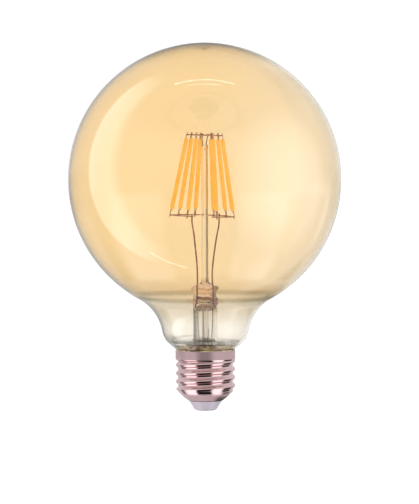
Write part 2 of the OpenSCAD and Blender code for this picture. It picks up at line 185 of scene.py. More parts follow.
class Recipe(Graph):
    """The node tree of one material, around a single Principled shader."""

    def __init__(self, slot: Slot) -> None:
        """Starts a material named after its slot, and puts it in stock.

        Args:
            slot: The slot that wears it.
        """
        self.material = bpy.data.materials.new(slot.value + "_finish")
        self.material.use_nodes = True
        STOCK[slot] = self.material
        super().__init__(self.material.node_tree)
        self.tree.nodes.clear()
        self.shader = self.add("ShaderNodeBsdfPrincipled")
        self.add("ShaderNodeOutputMaterial", {"Surface": self.shader.outputs["BSDF"]})
        self.place = self.add("ShaderNodeTexCoord").outputs["Object"]
        self.axes = self.split(self.place)

    def wear(self, **sockets: Value) -> None:
        """Feeds the shader's inputs.

        Args:
            sockets: The values by input name, where an underscore stands for a space.
        """
        for name, value in sockets.items():
            socket = self.shader.inputs[name.replace("_", " ")]
            self.feed(socket, (*value, 1.0) if isinstance(value, tuple) and socket.type == "RGBA" else value)

    def noise(self, scale: float, detail: float = 2.0, stretch: Sequence[float] = (1.0, 1.0, 1.0)) -> Socket:
        """A cloud of values from 0 to 1.

        Args:
            scale: Spots per metre, about.
            detail: How many finer layers there are.
            stretch: How much each axis is squeezed first.

        Returns:
            The cloud's socket.
        """
        where = self.add("ShaderNodeMapping", {"Vector": self.place, "Scale": tuple(stretch)})
        feeds = {"Vector": where.outputs[0], "Scale": scale, "Detail": detail}
        return self.add("ShaderNodeTexNoise", feeds).outputs["Fac"]

    def blend(self, share: Value, first: Value, second: Value) -> Socket:
        """A colour between two.

        Args:
            share: How much of the second it has.
            first: The colour at a share of 0.
            second: The colour at a share of 1.

        Returns:
            The colour's socket.
        """
        node = self.add("ShaderNodeMix", {0: share}, data_type="RGBA")
        for place, colour in ((6, first), (7, second)):
            self.feed(node.inputs[place], (*colour, 1.0) if isinstance(colour, tuple) else colour)
        return node.outputs[2]

    def wander(self, value: Value, reach_mm: float, cloud: Socket) -> Socket:
        """A length that a cloud pushes to and fro, by up to half of reach_mm."""
        push = self.math("MULTIPLY_ADD", cloud, reach_mm * MM, -reach_mm / 2 * MM)
        return self.math("ADD", value, push)

    def relief(self, height: Value, depth_mm: float, strength: float) -> None:
        """Roughens the surface by a height field, depth_mm deep."""
        feeds = {"Height": height, "Strength": strength, "Distance": depth_mm * MM}
        self.wear(Normal=self.add("ShaderNodeBump", feeds).outputs["Normal"])


@dataclass(frozen=True)
class CoatedGlass:
    """Blown glass with an amber film, which ends in a dark line over the neck.

    The film's edge wanders as it goes round. The film is thicker just over the edge, and a haze of it lies
    under the edge. Towards the right the film is paled to clear glass, a painted highlight of the broad light
    on that side. The dark line is deepened towards both sides, a painted shade of the globe's edges.
    and a haze of it lies under the edge.
    """

    amber: Colour = (0.955, 0.8, 0.555)
    thick: Colour = (0.78, 0.62, 0.4)
    haze: Colour = (0.835, 0.765, 0.645)
    clear: Colour = (0.915, 0.88, 0.81)
    line: Colour = (0.46, 0.36, 0.2)
    line_shaded_ends: Colour = (0.3, 0.27, 0.12)
    edge_mm: float = 49.8
    wander_mm: float = 1.4
    line_mm: Span = (0.2, 1.6)
    line_shaded_ends_mm: Span = (12.0, 25.0)
    haze_mm: Span = (36.0, 45.0)
    thick_mm: float = 11.0
    thick_share: float = 0.5
    right_highlight_mm: Span = (-8.0, 44.0)
    right_highlight_wander_mm: float = 30.0
    right_highlight_share: float = 0.32
    wave_mm: float = 0.05

    def make(self) -> bpy.types.Material:
        """Mixes the film's colour by height and side, and adds faint waves to the glass.

        Returns:
            The finished material.
        """
        r = Recipe(Slot.GLOBE)
        edge = self.edge_mm * MM
        height = r.wander(r.axes["Z"], self.wander_mm, r.noise(45.0))
        # Painted highlight: the film pales towards the right, where the broad light on that side falls.
        side = r.wander(r.axes["X"], self.right_highlight_wander_mm, r.noise(22.0, 2.0, (1.0, 1.0, 0.5)))
        hazy = r.ramp(height, self.haze_mm[0] * MM, self.haze_mm[1] * MM)
        below = r.blend(hazy, self.clear, self.haze)
        right_highlight = r.ramp(side, self.right_highlight_mm[0] * MM, self.right_highlight_mm[1] * MM, (0.0, self.right_highlight_share))
        above = r.blend(right_highlight, self.amber, self.clear)
        thicker = r.ramp(height, edge, edge + self.thick_mm * MM, (self.thick_share, 0.0))
        above = r.blend(thicker, above, self.thick)
        film = r.blend(r.ramp(height, edge - 1.2 * MM, edge + 0.3 * MM), below, above)
        off = r.math("ABSOLUTE", r.math("SUBTRACT", height, edge))
        patches = r.ramp(r.noise(30.0), 0.3, 0.7, (0.6, 1.0))
        drawn = r.ramp(off, self.line_mm[0] * MM, self.line_mm[1] * MM, (1.0, 0.0))
        # Painted shade: the dark line is deepened towards both sides, where the globe's edges look dark.
        out = r.math("ABSOLUTE", r.axes["X"])
        ends = r.ramp(out, self.line_shaded_ends_mm[0] * MM, self.line_shaded_ends_mm[1] * MM)
        line = r.blend(ends, self.line, self.line_shaded_ends)
        colour = r.blend(r.math("MULTIPLY", drawn, patches), film, line)
        r.wear(Base_Color=colour, Roughness=0.0, IOR=GLASS_INDEX, Transmission_Weight=1.0)
        r.relief(r.noise(34.0, 1.0), self.wave_mm, 0.35)
        return r.material


@dataclass(frozen=True)
class StemGlass:
    """Clear tube glass, stained brown where it was pressed around the wires."""

    clear: Colour = (0.96, 0.945, 0.93)
    stain: Colour = (0.82, 0.52, 0.41)
    stained_mm: tuple[float, float, float, float] = (44.5, 48.0, 54.5, 59.0)

    def make(self) -> bpy.types.Material:
        """Stains the clear glass by height, with streaks from the burner.

        Returns:
            The finished material.
        """
        r = Recipe(Slot.GLASS)
        start, full, last, end = (z * MM for z in self.stained_mm)
        band = r.between(r.axes["Z"], (start, full), (last, end))
        streaks = r.ramp(r.noise(420.0, 3.0, (1.0, 1.0, 2.2)), 0.38, 0.66, (0.35, 1.0))
        colour = r.blend(r.math("MULTIPLY", band, streaks), self.clear, self.stain)
        r.wear(Base_Color=colour, Roughness=0.01, IOR=GLASS_INDEX, Transmission_Weight=1.0)
        r.relief(r.noise(260.0, 2.0, (1.0, 1.0, 0.6)), 0.12, 0.5)
        return r.material


@dataclass(frozen=True)
class DrawnWire:
    """Drawn wire with a patchy skin of oxide and fine die marks along it."""

    slot: Slot
    bright: Colour
    oxide: Colour
    metal: float = 0.85
    rough: Span = (0.3, 0.55)

    def make(self) -> bpy.types.Material:
        """Mixes bright metal and oxide in patches a few diameters long.

        Returns:
            The finished material.
        """
        r = Recipe(self.slot)
        patch = r.ramp(r.noise(650.0, 3.0, (1.0, 1.0, 0.35)), 0.35, 0.65)
        r.wear(
            Base_Color=r.blend(patch, self.bright, self.oxide),
            Metallic=self.metal,
            Roughness=r.math("MULTIPLY_ADD", patch, self.rough[1] - self.rough[0], self.rough[0]),
        )
        r.relief(r.noise(5200.0, 2.0, (1.0, 1.0, 0.2)), 0.02, 0.5)
        return r.material


@dataclass(frozen=True)
class PhosphorSilicone:
    """The yellow silicone over the chips, grainy with phosphor powder, and given a faint painted glow."""

    pale: Colour = (0.98, 0.72, 0.16)
    deep: Colour = (0.96, 0.58, 0.07)
    bloom: Colour = (1.0, 0.86, 0.5)
    painted_glow_tint: Colour = (1.0, 0.48, 0.05)
    glow: float = 0.45

    def make(self) -> bpy.types.Material:
        """Grains the yellow, deeper where the powder has settled.

        Returns:
            The finished material.
        """
        r = Recipe(Slot.COAT)
        settled = r.ramp(r.noise(900.0, 4.0, (1.0, 1.0, 0.4)), 0.3, 0.72)
        r.wear(
            Base_Color=r.blend(settled, self.pale, self.deep),
            Roughness=0.42,
            Sheen_Weight=0.35,
            Sheen_Roughness=0.35,
            Sheen_Tint=self.bloom,
            # Painted glow: the unlit silicone is made to give off a little light.
            Emission_Color=self.painted_glow_tint,
            Emission_Strength=self.glow,
        )
        r.relief(r.noise(7000.0, 3.0), 0.03, 0.6)
        return r.material


@dataclass(frozen=True)
class PlatedShell:
    """Thin nickel-plated metal with a rosy cast, polished by rolling and smudged by handling.

    A painted shade darkens the crease over the lip, and fades out between the two heights of crease_mm.
    """

    plate: Colour = (0.81, 0.58, 0.595)
    smudge: Colour = (0.73, 0.5, 0.52)
    crease_shade: Colour = (0.16, 0.08, 0.085)
    crease_mm: Span = (4.3, 4.75)
    rough: float = 0.07
    rough_lines: float = 0.04
    rough_smudges: float = 0.07

    def make(self) -> bpy.types.Material:
        """Lays smudges over the plate, and fine rolling lines round the shell.

        Returns:
            The finished material.
        """
        r = Recipe(Slot.SHELL)
        smudges = r.ramp(r.noise(150.0, 4.0), 0.42, 0.72)
        lines = r.noise(900.0, 2.0, (0.12, 0.12, 9.0))
        lined = r.math("MULTIPLY_ADD", lines, self.rough_lines, self.rough)
        rough = r.math("MULTIPLY_ADD", smudges, self.rough_smudges, lined)
        # Painted shade: the crease over the lip is darkened towards near black.
        crease = r.ramp(r.axes["Z"], self.crease_mm[0] * MM, self.crease_mm[1] * MM, (0.8, 0.0))
        plated = r.blend(smudges, self.plate, self.smudge)
        r.wear(Base_Color=r.blend(crease, plated, self.crease_shade), Metallic=1.0, Roughness=rough)
        r.relief(lines, 0.01, 0.35)
        return r.material


@dataclass(frozen=True)
class PlainFinish:
    """A moulded, painted, sintered or stamped surface: two close shades, a gloss and a grain."""

    slot: Slot
    shade: Colour
    second: Colour
    rough: float = 0.5
    metal: float = 0.0
    patches: float = 250.0
    grain: float = 2500.0
    grain_mm: float = 0.02

    def make(self) -> bpy.types.Material:
        """Clouds the two shades into each other over a fine grain.

        Returns:
            The finished material.
        """
        r = Recipe(self.slot)
        cloud = r.ramp(r.noise(self.patches, 3.0), 0.35, 0.68)
        rough = r.math("MULTIPLY_ADD", cloud, 0.12, self.rough - 0.06)
        r.wear(Base_Color=r.blend(cloud, self.shade, self.second), Metallic=self.metal, Roughness=rough)
        r.relief(r.noise(self.grain, 3.0), self.grain_mm, 0.6)
        return r.material


@dataclass(frozen=True)
class CircuitBoard:
    """Solder mask over copper tracks, which show as paler lines."""

    slot: Slot
    mask: Colour
    track: Colour
    tracks_per_m: float = 520.0

    def make(self) -> bpy.types.Material:
        """Draws stepped tracks under the mask's colour.

        Returns:
            The finished material.
        """
        r = Recipe(self.slot)
        feeds = {"Vector": r.place, "Scale": self.tracks_per_m}
        cells = r.add("ShaderNodeTexVoronoi", feeds, feature="F1", distance="CHEBYCHEV")
        lines = r.ramp(cells.outputs["Distance"], 0.42, 0.5)
        r.wear(Base_Color=r.blend(lines, self.mask, self.track), Roughness=0.32, Coat_Weight=0.4)
        r.relief(lines, 0.035, 0.7)
        return r.material


FINISHES = (
    CoatedGlass(),
    StemGlass(),
    PhosphorSilicone(),
    PlatedShell(),
    DrawnWire(Slot.SEAL_WIRE, (0.42, 0.16, 0.1), (0.26, 0.08, 0.055), 0.5),
    DrawnWire(Slot.LEAD, (0.58, 0.27, 0.2), (0.36, 0.14, 0.11), 0.4),
    DrawnWire(Slot.FRAME, (0.66, 0.36, 0.3), (0.38, 0.16, 0.14), 0.4),
    DrawnWire(Slot.TAB, (0.76, 0.56, 0.48), (0.48, 0.26, 0.22), 0.5),
    DrawnWire(Slot.TINNED, (0.74, 0.7, 0.64), (0.5, 0.46, 0.42), 0.8),
    PlainFinish(Slot.CARRIER, (0.86, 0.84, 0.76), (0.78, 0.76, 0.68), 0.55),
    PlainFinish(Slot.CHIP, (0.26, 0.34, 0.6), (0.34, 0.42, 0.66), 0.2, 0.3),
    PlainFinish(Slot.INSULATOR, (0.53, 0.475, 0.54), (0.48, 0.43, 0.5), 0.3, 0.0, 120.0, 1600.0, 0.015),
    PlainFinish(Slot.CONTACT, (0.33, 0.31, 0.36), (0.24, 0.22, 0.27), 0.34, 0.9, 320.0, 2600.0, 0.02),
    PlainFinish(Slot.CEMENT, (0.86, 0.7, 0.44), (0.2, 0.14, 0.06), 0.7, 0.0, 430.0, 1300.0, 0.12),
    PlainFinish(Slot.LINER, (0.8, 0.8, 0.77), (0.74, 0.74, 0.7), 0.5),
    CircuitBoard(Slot.BOARD, (0.03, 0.16, 0.07), (0.07, 0.3, 0.13)),
    CircuitBoard(Slot.RADIO_BOARD, (0.02, 0.06, 0.19), (0.05, 0.13, 0.34), 900.0),
    PlainFinish(Slot.PACKAGE, (0.025, 0.025, 0.028), (0.04, 0.04, 0.044), 0.5),
    PlainFinish(Slot.CAN, (0.03, 0.035, 0.06), (0.045, 0.05, 0.08), 0.28, 0.0, 200.0, 900.0),
    PlainFinish(Slot.FERRITE, (0.07, 0.062, 0.058), (0.11, 0.1, 0.09), 0.75, 0.0, 500.0, 1800.0, 0.05),
    PlainFinish(Slot.FILM, (0.42, 0.045, 0.03), (0.34, 0.035, 0.025), 0.22, 0.0, 160.0, 700.0),
    PlainFinish(Slot.RESISTOR, (0.08, 0.22, 0.19), (0.1, 0.26, 0.22), 0.4),
    PlainFinish(Slot.SHIELD, (0.6, 0.6, 0.6), (0.5, 0.5, 0.51), 0.28, 1.0),
)


def arc(centre: tuple[float, float], radius: float, start: float, end: float, steps: int) -> Outline:
    """Points along an arc.

    Args:
        centre: The arc's centre.
        radius: Its radius.
        start: The angle of its first point, in degrees.
        end: The angle of its last point.
        steps: How many steps it is cut into.

    Returns:
        The points, both ends included.
    """
    angles = [math.radians(start + (end - start) * i / steps) for i in range(steps + 1)]
    return [(centre[0] + radius * math.cos(a), centre[1] + radius * math.sin(a)) for a in angles]


def glide(points: Sequence[Vector], steps: int) -> list[Vector]:
    """A smooth curve through points.

    Args:
        points: What it passes through, in order.
        steps: How many steps it takes from each point to the next.

    Returns:
        The curve's points, both ends included.
    """
    path: list[Vector] = []
    for i in range(len(points) - 1):
        a, b, c = points[max(i - 1, 0)], points[i], points[i + 1]
        d = points[min(i + 2, len(points) - 1)]
        for k in range(steps):
            u = k / steps
            bend = (2 * a - 5 * b + 4 * c - d) * u * u + (3 * b - a - 3 * c + d) * u * u * u
            path.append(0.5 * (2 * b + (c - a) * u + bend))
    return path + [points[-1]]


def to_mesh(name: str, points: Iterable[Sequence[float]], faces: Sequence[Sequence[int]]) -> bpy.types.Mesh:
    """A smooth-shaded mesh from points in millimetres; a closed one is turned to face outwards.

    Args:
        name: The mesh's name.
        points: Its corners, in millimetres.
        faces: Its faces, as places in points.

    Returns:
        The mesh, in metres.
    """
    mesh = bpy.data.meshes.new(name)
    corners = [Vector(p) * MM for p in points]
    mesh.from_pydata(corners, [], faces)
    volume = sum(
        corners[f[0]].dot(corners[f[i]].cross(corners[f[i + 1]]))
        for f in faces for i in range(1, len(f) - 1)
    )
    if volume < 0:
        mesh.flip_normals()
    mesh.shade_smooth()
    mesh.update()
    return mesh


def loft(name: str, rings: Sequence[Sequence[Sequence[float]]], sharp: float = 50.0) -> bpy.types.Mesh:
    """Skins a row of rings; a ring of one point closes its end.

    Args:
        name: The mesh's name.
        rings: Rings of points in millimetres, all of the same count or of one point. The last joins the first
            where neither is a single point.
        sharp: Edges steeper than this angle, in degrees, are shaded hard.

    Returns:
        The closed mesh.
    """
    starts, points = [], []
    for ring in rings:
        starts.append(len(points))
        points += ring
    faces: list[tuple[int, ...]] = []
    open_ends = len(rings[0]) == 1 or len(rings[-1]) == 1
    for i in range(len(rings) - (1 if open_ends else 0)):
        j = (i + 1) % len(rings)
        here, there = starts[i], starts[j]
        count = max(len(rings[i]), len(rings[j]))
        for k in range(count):
            n = (k + 1) % count
            if len(rings[i]) == 1:
                faces.append((here, there + n, there + k))
            elif len(rings[j]) == 1:
                faces.append((here + k, here + n, there))
            else:
                faces.append((here + k, here + n, there + n, there + k))
    mesh = to_mesh(name, points, faces)
    mesh.set_sharp_from_angle(angle=math.radians(sharp))
    return mesh


def round_ring(radius: float, z: float, count: int, deep: float | None = None, square: float = 2.0) -> Ring:
    """A level ring of points round the axis.

    Args:
        radius: Its half width along X, in millimetres; nought gives a single point.
        z: Its height, in millimetres.
        count: How many points it has.
        deep: Its half depth along Y; the same as radius if it is left out.
        square: 2 for an ellipse, more for one with fuller corners.

    Returns:
        The ring's points.
    """
    if radius <= 0:
        return [(0.0, 0.0, z)]
    deep = radius if deep is None else deep
    ring = []
    for k in range(count):
        a = 2 * math.pi * k / count
        c, s = math.cos(a), math.sin(a)
        x = math.copysign(abs(c) ** (2 / square), c)
        y = math.copysign(abs(s) ** (2 / square), s)
        ring.append((radius * x, deep * y, z))
    return ring


def lathe(name: str, outline: Outline, count: int = 128, sharp: float = 50.0) -> bpy.types.Mesh:
    """Turns an outline of (radius, height) pairs round the axis into a closed mesh."""
    return loft(name, [round_ring(r, z, count) for r, z in outline], sharp)


def fit(name: str, mesh: bpy.types.Mesh, slot: Slot, *replaced: str) -> bpy.types.Object:
    """Puts a finished piece in the lamp.

    Args:
        name: The piece's name.
        mesh: Its mesh, in place.
        slot: The slot whose finish it wears.
        replaced: The CAD nodes that it stands for.

    Returns:
        The piece.
    """
    piece = bpy.data.objects.new(name, mesh)
    bpy.context.scene.collection.objects.link(piece)
    mesh.materials.clear()
    mesh.materials.append(STOCK[slot])
    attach(piece, BODY)
    if replaced:
        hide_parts(*replaced)
    stands_for = ", ".join(replaced) or "itself"
    LOG.info("%s: %d faces, finish %s, for %s", name, len(mesh.polygons), slot.value, stands_for)
    return piece


class Growth(Graph):
    """A Geometry Nodes tree with named sizes, run once on a mesh and kept as a plain mesh."""

    def __init__(self, name: str, sizes: dict[str, float | int]) -> None:
        """Starts the tree.

        Args:
            name: The tree's name.
            sizes: Its named inputs and what each is set to. A whole number makes a whole-number input.
        """
        super().__init__(bpy.data.node_groups.new(name, "GeometryNodeTree"))
        face = self.tree.interface
        face.new_socket("Geometry", in_out="INPUT", socket_type="NodeSocketGeometry")
        self.sizes = dict(sizes)
        self.keys: dict[str, str] = {}
        for label, value in sizes.items():
            kind = "NodeSocketInt" if isinstance(value, int) else "NodeSocketFloat"
            self.keys[label] = face.new_socket(label, in_out="INPUT", socket_type=kind).identifier
        face.new_socket("Geometry", in_out="OUTPUT", socket_type="NodeSocketGeometry")
        self.given = self.add("NodeGroupInput").outputs

    def finish(self, shape: Socket, slot: Slot) -> None:
        """Ends the tree: smooth shading, real geometry in place of instances, and the material.

        Args:
            shape: The geometry that the tree has made.
            slot: The slot whose finish it wears.
        """
        smooth = self.add("GeometryNodeSetShadeSmooth", {"Geometry": shape, "Shade Smooth": True})
        real = self.add("GeometryNodeRealizeInstances", {"Geometry": smooth.outputs[0]})
        feeds = {"Geometry": real.outputs[0], "Material": STOCK[slot]}
        dressed = self.add("GeometryNodeSetMaterial", feeds)
        self.add("NodeGroupOutput", {"Geometry": dressed.outputs[0]})

    def run(self, name: str, points: Sequence[Sequence[float]], edges: Edges) -> bpy.types.Mesh:
        """Grows the shape on a frame of points and edges.

        Args:
            name: The new mesh's name.
            points: The frame's points, in millimetres.
            edges: The frame's edges.

        Returns:
            The grown mesh, in metres.
        """
        start = bpy.data.meshes.new(name + "_start")
        start.from_pydata([Vector(p) * MM for p in points], list(edges), [])
        host = bpy.data.objects.new(name + "_start", start)
        bpy.context.scene.collection.objects.link(host)
        modifier = host.modifiers.new(self.tree.name, "NODES")
        modifier.node_group = self.tree
        for label, key in self.keys.items():
            modifier[key] = self.sizes[label]
        graph = bpy.context.evaluated_depsgraph_get()
        grown = bpy.data.meshes.new_from_object(host.evaluated_get(graph), depsgraph=graph)
        grown.name = name
        host.modifiers.remove(modifier)
        bpy.data.objects.remove(host)
        bpy.data.meshes.remove(start)
        return grown


def wire_growth(radius_mm: float, bend_mm: float, slot: Slot, sides: int = 16) -> Growth:
    """The tree that sweeps a round wire along a frame's edges, with its corners bent to a radius.

    Args:
        radius_mm: The wire's radius.
        bend_mm: The radius of its bends.
        slot: Its finish.
        sides: How many sides it has.

    Returns:
        The tree, ready to run.
    """
    g = Growth("drawn_wire", {"Wire radius": radius_mm * MM, "Bend radius": bend_mm * MM, "Sides": sides})
    path = g.add("GeometryNodeMeshToCurve", {"Mesh": g.given["Geometry"]})
    feeds = {"Curve": path.outputs[0], "Radius": g.given["Bend radius"], "Count": 4, "Limit Radius": True}
    bent = g.add("GeometryNodeFilletCurve", feeds, mode="POLY")
    feeds = {"Resolution": g.given["Sides"], "Radius": g.given["Wire radius"]}
    round_section = g.add("GeometryNodeCurvePrimitiveCircle", feeds, mode="RADIUS")
    feeds = {"Curve": bent.outputs[0], "Profile Curve": round_section.outputs[0], "Fill Caps": True}
    g.finish(g.add("GeometryNodeCurveToMesh", feeds).outputs[0], slot)
    return g


def chain(count: int, closed: bool = False) -> list[tuple[int, int]]:
    """The edges of a line of points, joined end to end where it is closed."""
    return [(i, i + 1) for i in range(count - 1)] + ([(count - 1, 0)] if closed else [])


@dataclass
class Envelope:
    """The blown globe, drawn in to a neck that dips into the cap."""

    globe_r: float = 60.0
    top: float = 161.5
    wall: float = 0.8
    hollow_from: float = 61.0
    hollow_r: float = 20.0
    side_angle: float = 13.0
    side_l: float = 2.0
    belly_r: float = 8.5
    dip_angle: float = 50.0
    dip_r: float = 1.2
    neck_r: float = 12.15
    neck_end: float = 22.2
    steps: tuple[int, int, int, int] = (126, 22, 16, 8)
    count: int = 208

    def outline(self, depth: float) -> Outline:
        """The profile from the top down to the neck's end.

        Args:
            depth: How far inside the outer face it lies, in millimetres.

        Returns:
            The profile, as (radius, height) pairs.
        """
        rad = math.radians
        centre = (0.0, self.top - self.globe_r)
        reach = self.globe_r + self.hollow_r
        sine, cosine = math.sin(rad(self.hollow_from)), math.cos(rad(self.hollow_from))
        hollow = (reach * cosine, centre[1] - reach * sine)
        sine, cosine = math.sin(rad(self.side_angle)), math.cos(rad(self.side_angle))
        side = (
            hollow[0] - self.hollow_r * cosine - self.side_l * sine,
            hollow[1] + self.hollow_r * sine - self.side_l * cosine,
        )
        belly = (side[0] - self.belly_r * cosine, side[1] + self.belly_r * sine)
        sine, cosine = math.sin(rad(self.dip_angle)), math.cos(rad(self.dip_angle))
        end = (belly[0] + self.belly_r * cosine, belly[1] - self.belly_r * sine)
        length = (end[0] - self.dip_r * (1 - cosine) - self.neck_r) / sine
        dip = (
            end[0] - length * sine + self.dip_r * cosine,
            end[1] - length * cosine - self.dip_r * sine,
        )
        globe, waist, bulge, foot = self.steps
        return (
            arc(centre, self.globe_r - depth, 90.0, -self.hollow_from, globe)
            + arc(hollow, self.hollow_r + depth, 182.0 - self.hollow_from, 180.0 - self.side_angle, waist)
            + arc(belly, self.belly_r - depth, -self.side_angle, -self.dip_angle, bulge)
            + arc(dip, self.dip_r + depth, 180.0 - self.dip_angle, 180.0, foot)
            + [(self.neck_r - depth, self.neck_end)]
        )

    def inside_at(self, z: float) -> float:
        """Finds how wide the hollow is.

        Args:
            z: The height, in millimetres.

        Returns:
            The radius of the inner face there, in millimetres.
        """
        inner = self.outline(self.wall)
        for (r0, z0), (r1, z1) in zip(inner, inner[1:]):
            if z1 <= z <= z0:
                return r0 + (r1 - r0) * (z0 - z) / max(z0 - z1, 1e-9)
        return self.neck_r - self.wall

    def build(self) -> None:
        """Turns the wall as one closed skin of glass."""
        outer, inner = self.outline(0.0), self.outline(self.wall)
        outer[0], inner[0] = (0.0, outer[0][1]), (0.0, inner[0][1])
        fit("globe", lathe("globe", outer + inner[::-1], self.count), Slot.GLOBE, "glass_globe")
        design_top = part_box("glass_globe")[1].z / MM
        LOG.info("globe: top at %.2f mm, in the design %.2f mm", self.top, design_top)


@dataclass
class Stem:
    """The flared tube with its press seal, the exhaust tube under it and the rod over it.

    The press is a row of sections, each a height, a half width, a half depth and how full its corners are.
    The hollow's end under it is a row of heights, half widths and half depths.
    """

    envelope: Envelope
    tube_r: float = 5.3
    tube_z: tuple[float, ...] = (34.0, 38.0, 42.0)
    tube_end: float = 46.0
    wall: float = 0.9
    flare_r: float = 1.2
    flare_z: float = 31.4
    flare_turn: float = 86.0
    seal_z: float = 29.2
    seal_l: float = 0.9
    seal_gap: float = 0.04
    press: tuple[tuple[float, float, float, float], ...] = (
        (46.8, 5.35, 5.0, 2.0), (47.7, 5.5, 4.2, 2.2), (48.5, 5.55, 3.4, 2.5), (49.4, 5.3, 2.8, 2.8),
        (50.4, 4.95, 2.45, 3.0), (51.4, 4.9, 2.4, 3.0), (52.3, 5.3, 2.5, 2.9), (53.1, 5.9, 2.6, 2.8),
        (53.8, 6.1, 2.5, 2.6), (54.4, 5.7, 2.3, 2.4), (54.9, 4.7, 2.1, 2.2), (55.4, 3.3, 1.9, 2.1),
        (55.9, 2.2, 1.75, 2.0), (56.6, 1.75, 1.65, 2.0), (57.6, 1.55, 1.55, 2.0), (58.4, 1.5, 1.5, 2.0),
    )
    rippled: range = range(2, 12)
    ripple_share: float = 0.03
    hollow_z: float = 44.6
    hollow_end: tuple[tuple[float, float, float], ...] = (
        (45.6, 4.15, 3.9), (46.4, 3.3, 2.9), (46.8, 1.9, 1.8), (46.85, 0.0, 0.0),
    )
    hole_at: tuple[float, float, float] = (0.35, -0.5, 48.9)
    hole_half: Span = (3.1, 0.75)
    exhaust_r: float = 1.45
    exhaust_bore: float = 0.9
    exhaust_top: float = 46.2
    exhaust_tip: float = 17.8
    rod_r: float = 1.5
    rod_foot: float = 58.45
    rod_top: float = 116.9
    knob_l: float = 2.4
    count: int = 72

    def ripple(self, ring: Ring, amount: float, phase: float) -> Ring:
        """Pushes a ring's points in and out a little, as a flame softens glass.

        Args:
            ring: The even ring.
            amount: How far it is pushed, as a share of its radius.
            phase: Turns the pattern, so that no two rings are alike.

        Returns:
            The uneven ring.
        """
        out = []
        for x, y, z in ring:
            a = math.atan2(y, x)
            k = 1 + amount * (math.sin(3 * a + phase) + 0.6 * math.sin(5 * a - 2.1 * phase))
            out.append((x * k, y * k, z + 2.5 * amount * math.sin(2 * a + 1.3 * phase)))
        return out

    def build_tube(self) -> None:
        """Lofts the tube: round at the flare, flat at the press, with a hollow inside."""
        centre = (self.tube_r + self.flare_r, self.flare_z)
        seal = (self.seal_z, self.seal_z + self.seal_l)
        rim = [(self.envelope.inside_at(z) - self.seal_gap, z) for z in seal]
        upper = arc(centre, self.flare_r, 180.0 + self.flare_turn, 180.0, 14)
        upper += [(self.tube_r, z) for z in (*self.tube_z, self.tube_end)]
        outer = [round_ring(r, z, self.count) for r, z in [rim[1], *upper]]
        for i, (z, wide, deep, square) in enumerate(self.press):
            ring = round_ring(wide, z, self.count, deep, square)
            outer.append(self.ripple(ring, self.ripple_share, 0.9 * i) if i in self.rippled else ring)
        outer.append(round_ring(0.0, self.press[-1][0], self.count))
        lower = arc(centre, self.flare_r + self.wall, 180.0 + self.flare_turn, 180.0, 14)
        lower += [(self.tube_r - self.wall, z) for z in (*self.tube_z, self.hollow_z)]
        inner = [round_ring(r, z, self.count) for r, z in [rim[0], *lower]]
        inner += [round_ring(wide, z, self.count, deep) for z, wide, deep in self.hollow_end]
        mesh = loft("stem", [*inner[::-1], *outer], 60.0)
        fit("stem", mesh, Slot.GLASS, "stem_tube")

    def build_hole(self) -> None:
        """Makes the crooked bubble that the exhaust hole leaves in the press; its faces point into it."""
        right, back, height = self.hole_at
        half_wide, half_tall = self.hole_half
        rings = []
        steps = 14
        for i in range(steps + 1):
            a = math.pi * i / steps
            wide = half_wide * math.sin(a)
            z = height - half_tall * math.cos(a)
            ring = round_ring(wide if 0 < i < steps else 0.0, z, 32, 0.32 * wide + 0.01, 2.4)
            rings.append([(x + right, y + back, h + 0.16 * math.sin(1.4 * x)) for x, y, h in ring])
        mesh = loft("exhaust_hole", rings, 60.0)
        mesh.flip_normals()
        fit("exhaust_hole", mesh, Slot.GLASS)

    def build_exhaust(self) -> None:
        """Turns the exhaust tube with its melted tip."""
        tip, top = self.exhaust_tip, self.exhaust_top
        outline = [
            (0.0, tip), (0.5, tip + 0.15), (0.95, tip + 0.7), (1.25, tip + 1.5), (self.exhaust_r, tip + 2.8),
            (self.exhaust_r, top), (self.exhaust_bore, top), (self.exhaust_bore, tip + 3.0),
            (0.6, tip + 1.8), (0.25, tip + 1.3), (0.0, tip + 1.15),
        ]
        fit("exhaust", lathe("exhaust", outline, 40), Slot.GLASS, "exhaust_tube")

    def build_rod(self) -> None:
        """Turns the support rod, a little uneven, with a knob melted at its top."""
        foot = self.rod_foot
        outline = [(0.0, foot)]
        steps = 40
        for i in range(steps + 1):
            z = foot + (self.rod_top - self.knob_l - foot) * i / steps
            outline.append((self.rod_r - 0.05 + 0.04 * math.sin(0.55 * z) + 0.02 * math.sin(1.7 * z), z))
        outline += [(self.rod_r + 0.12, self.rod_top - 1.6), (self.rod_r + 0.14, self.rod_top - 0.9)]
        outline += arc((self.rod_r - 0.66, self.rod_top - 0.8), 0.8, 0.0, 90.0, 6)
        outline.append((0.0, self.rod_top))
        fit("rod", lathe("rod", outline, 40, 40.0), Slot.GLASS, "support_rod")

    def build(self) -> None:
        """Builds the stem's glass from the bottom up."""
        self.build_tube()
        self.build_hole()
        self.build_exhaust()
        self.build_rod()


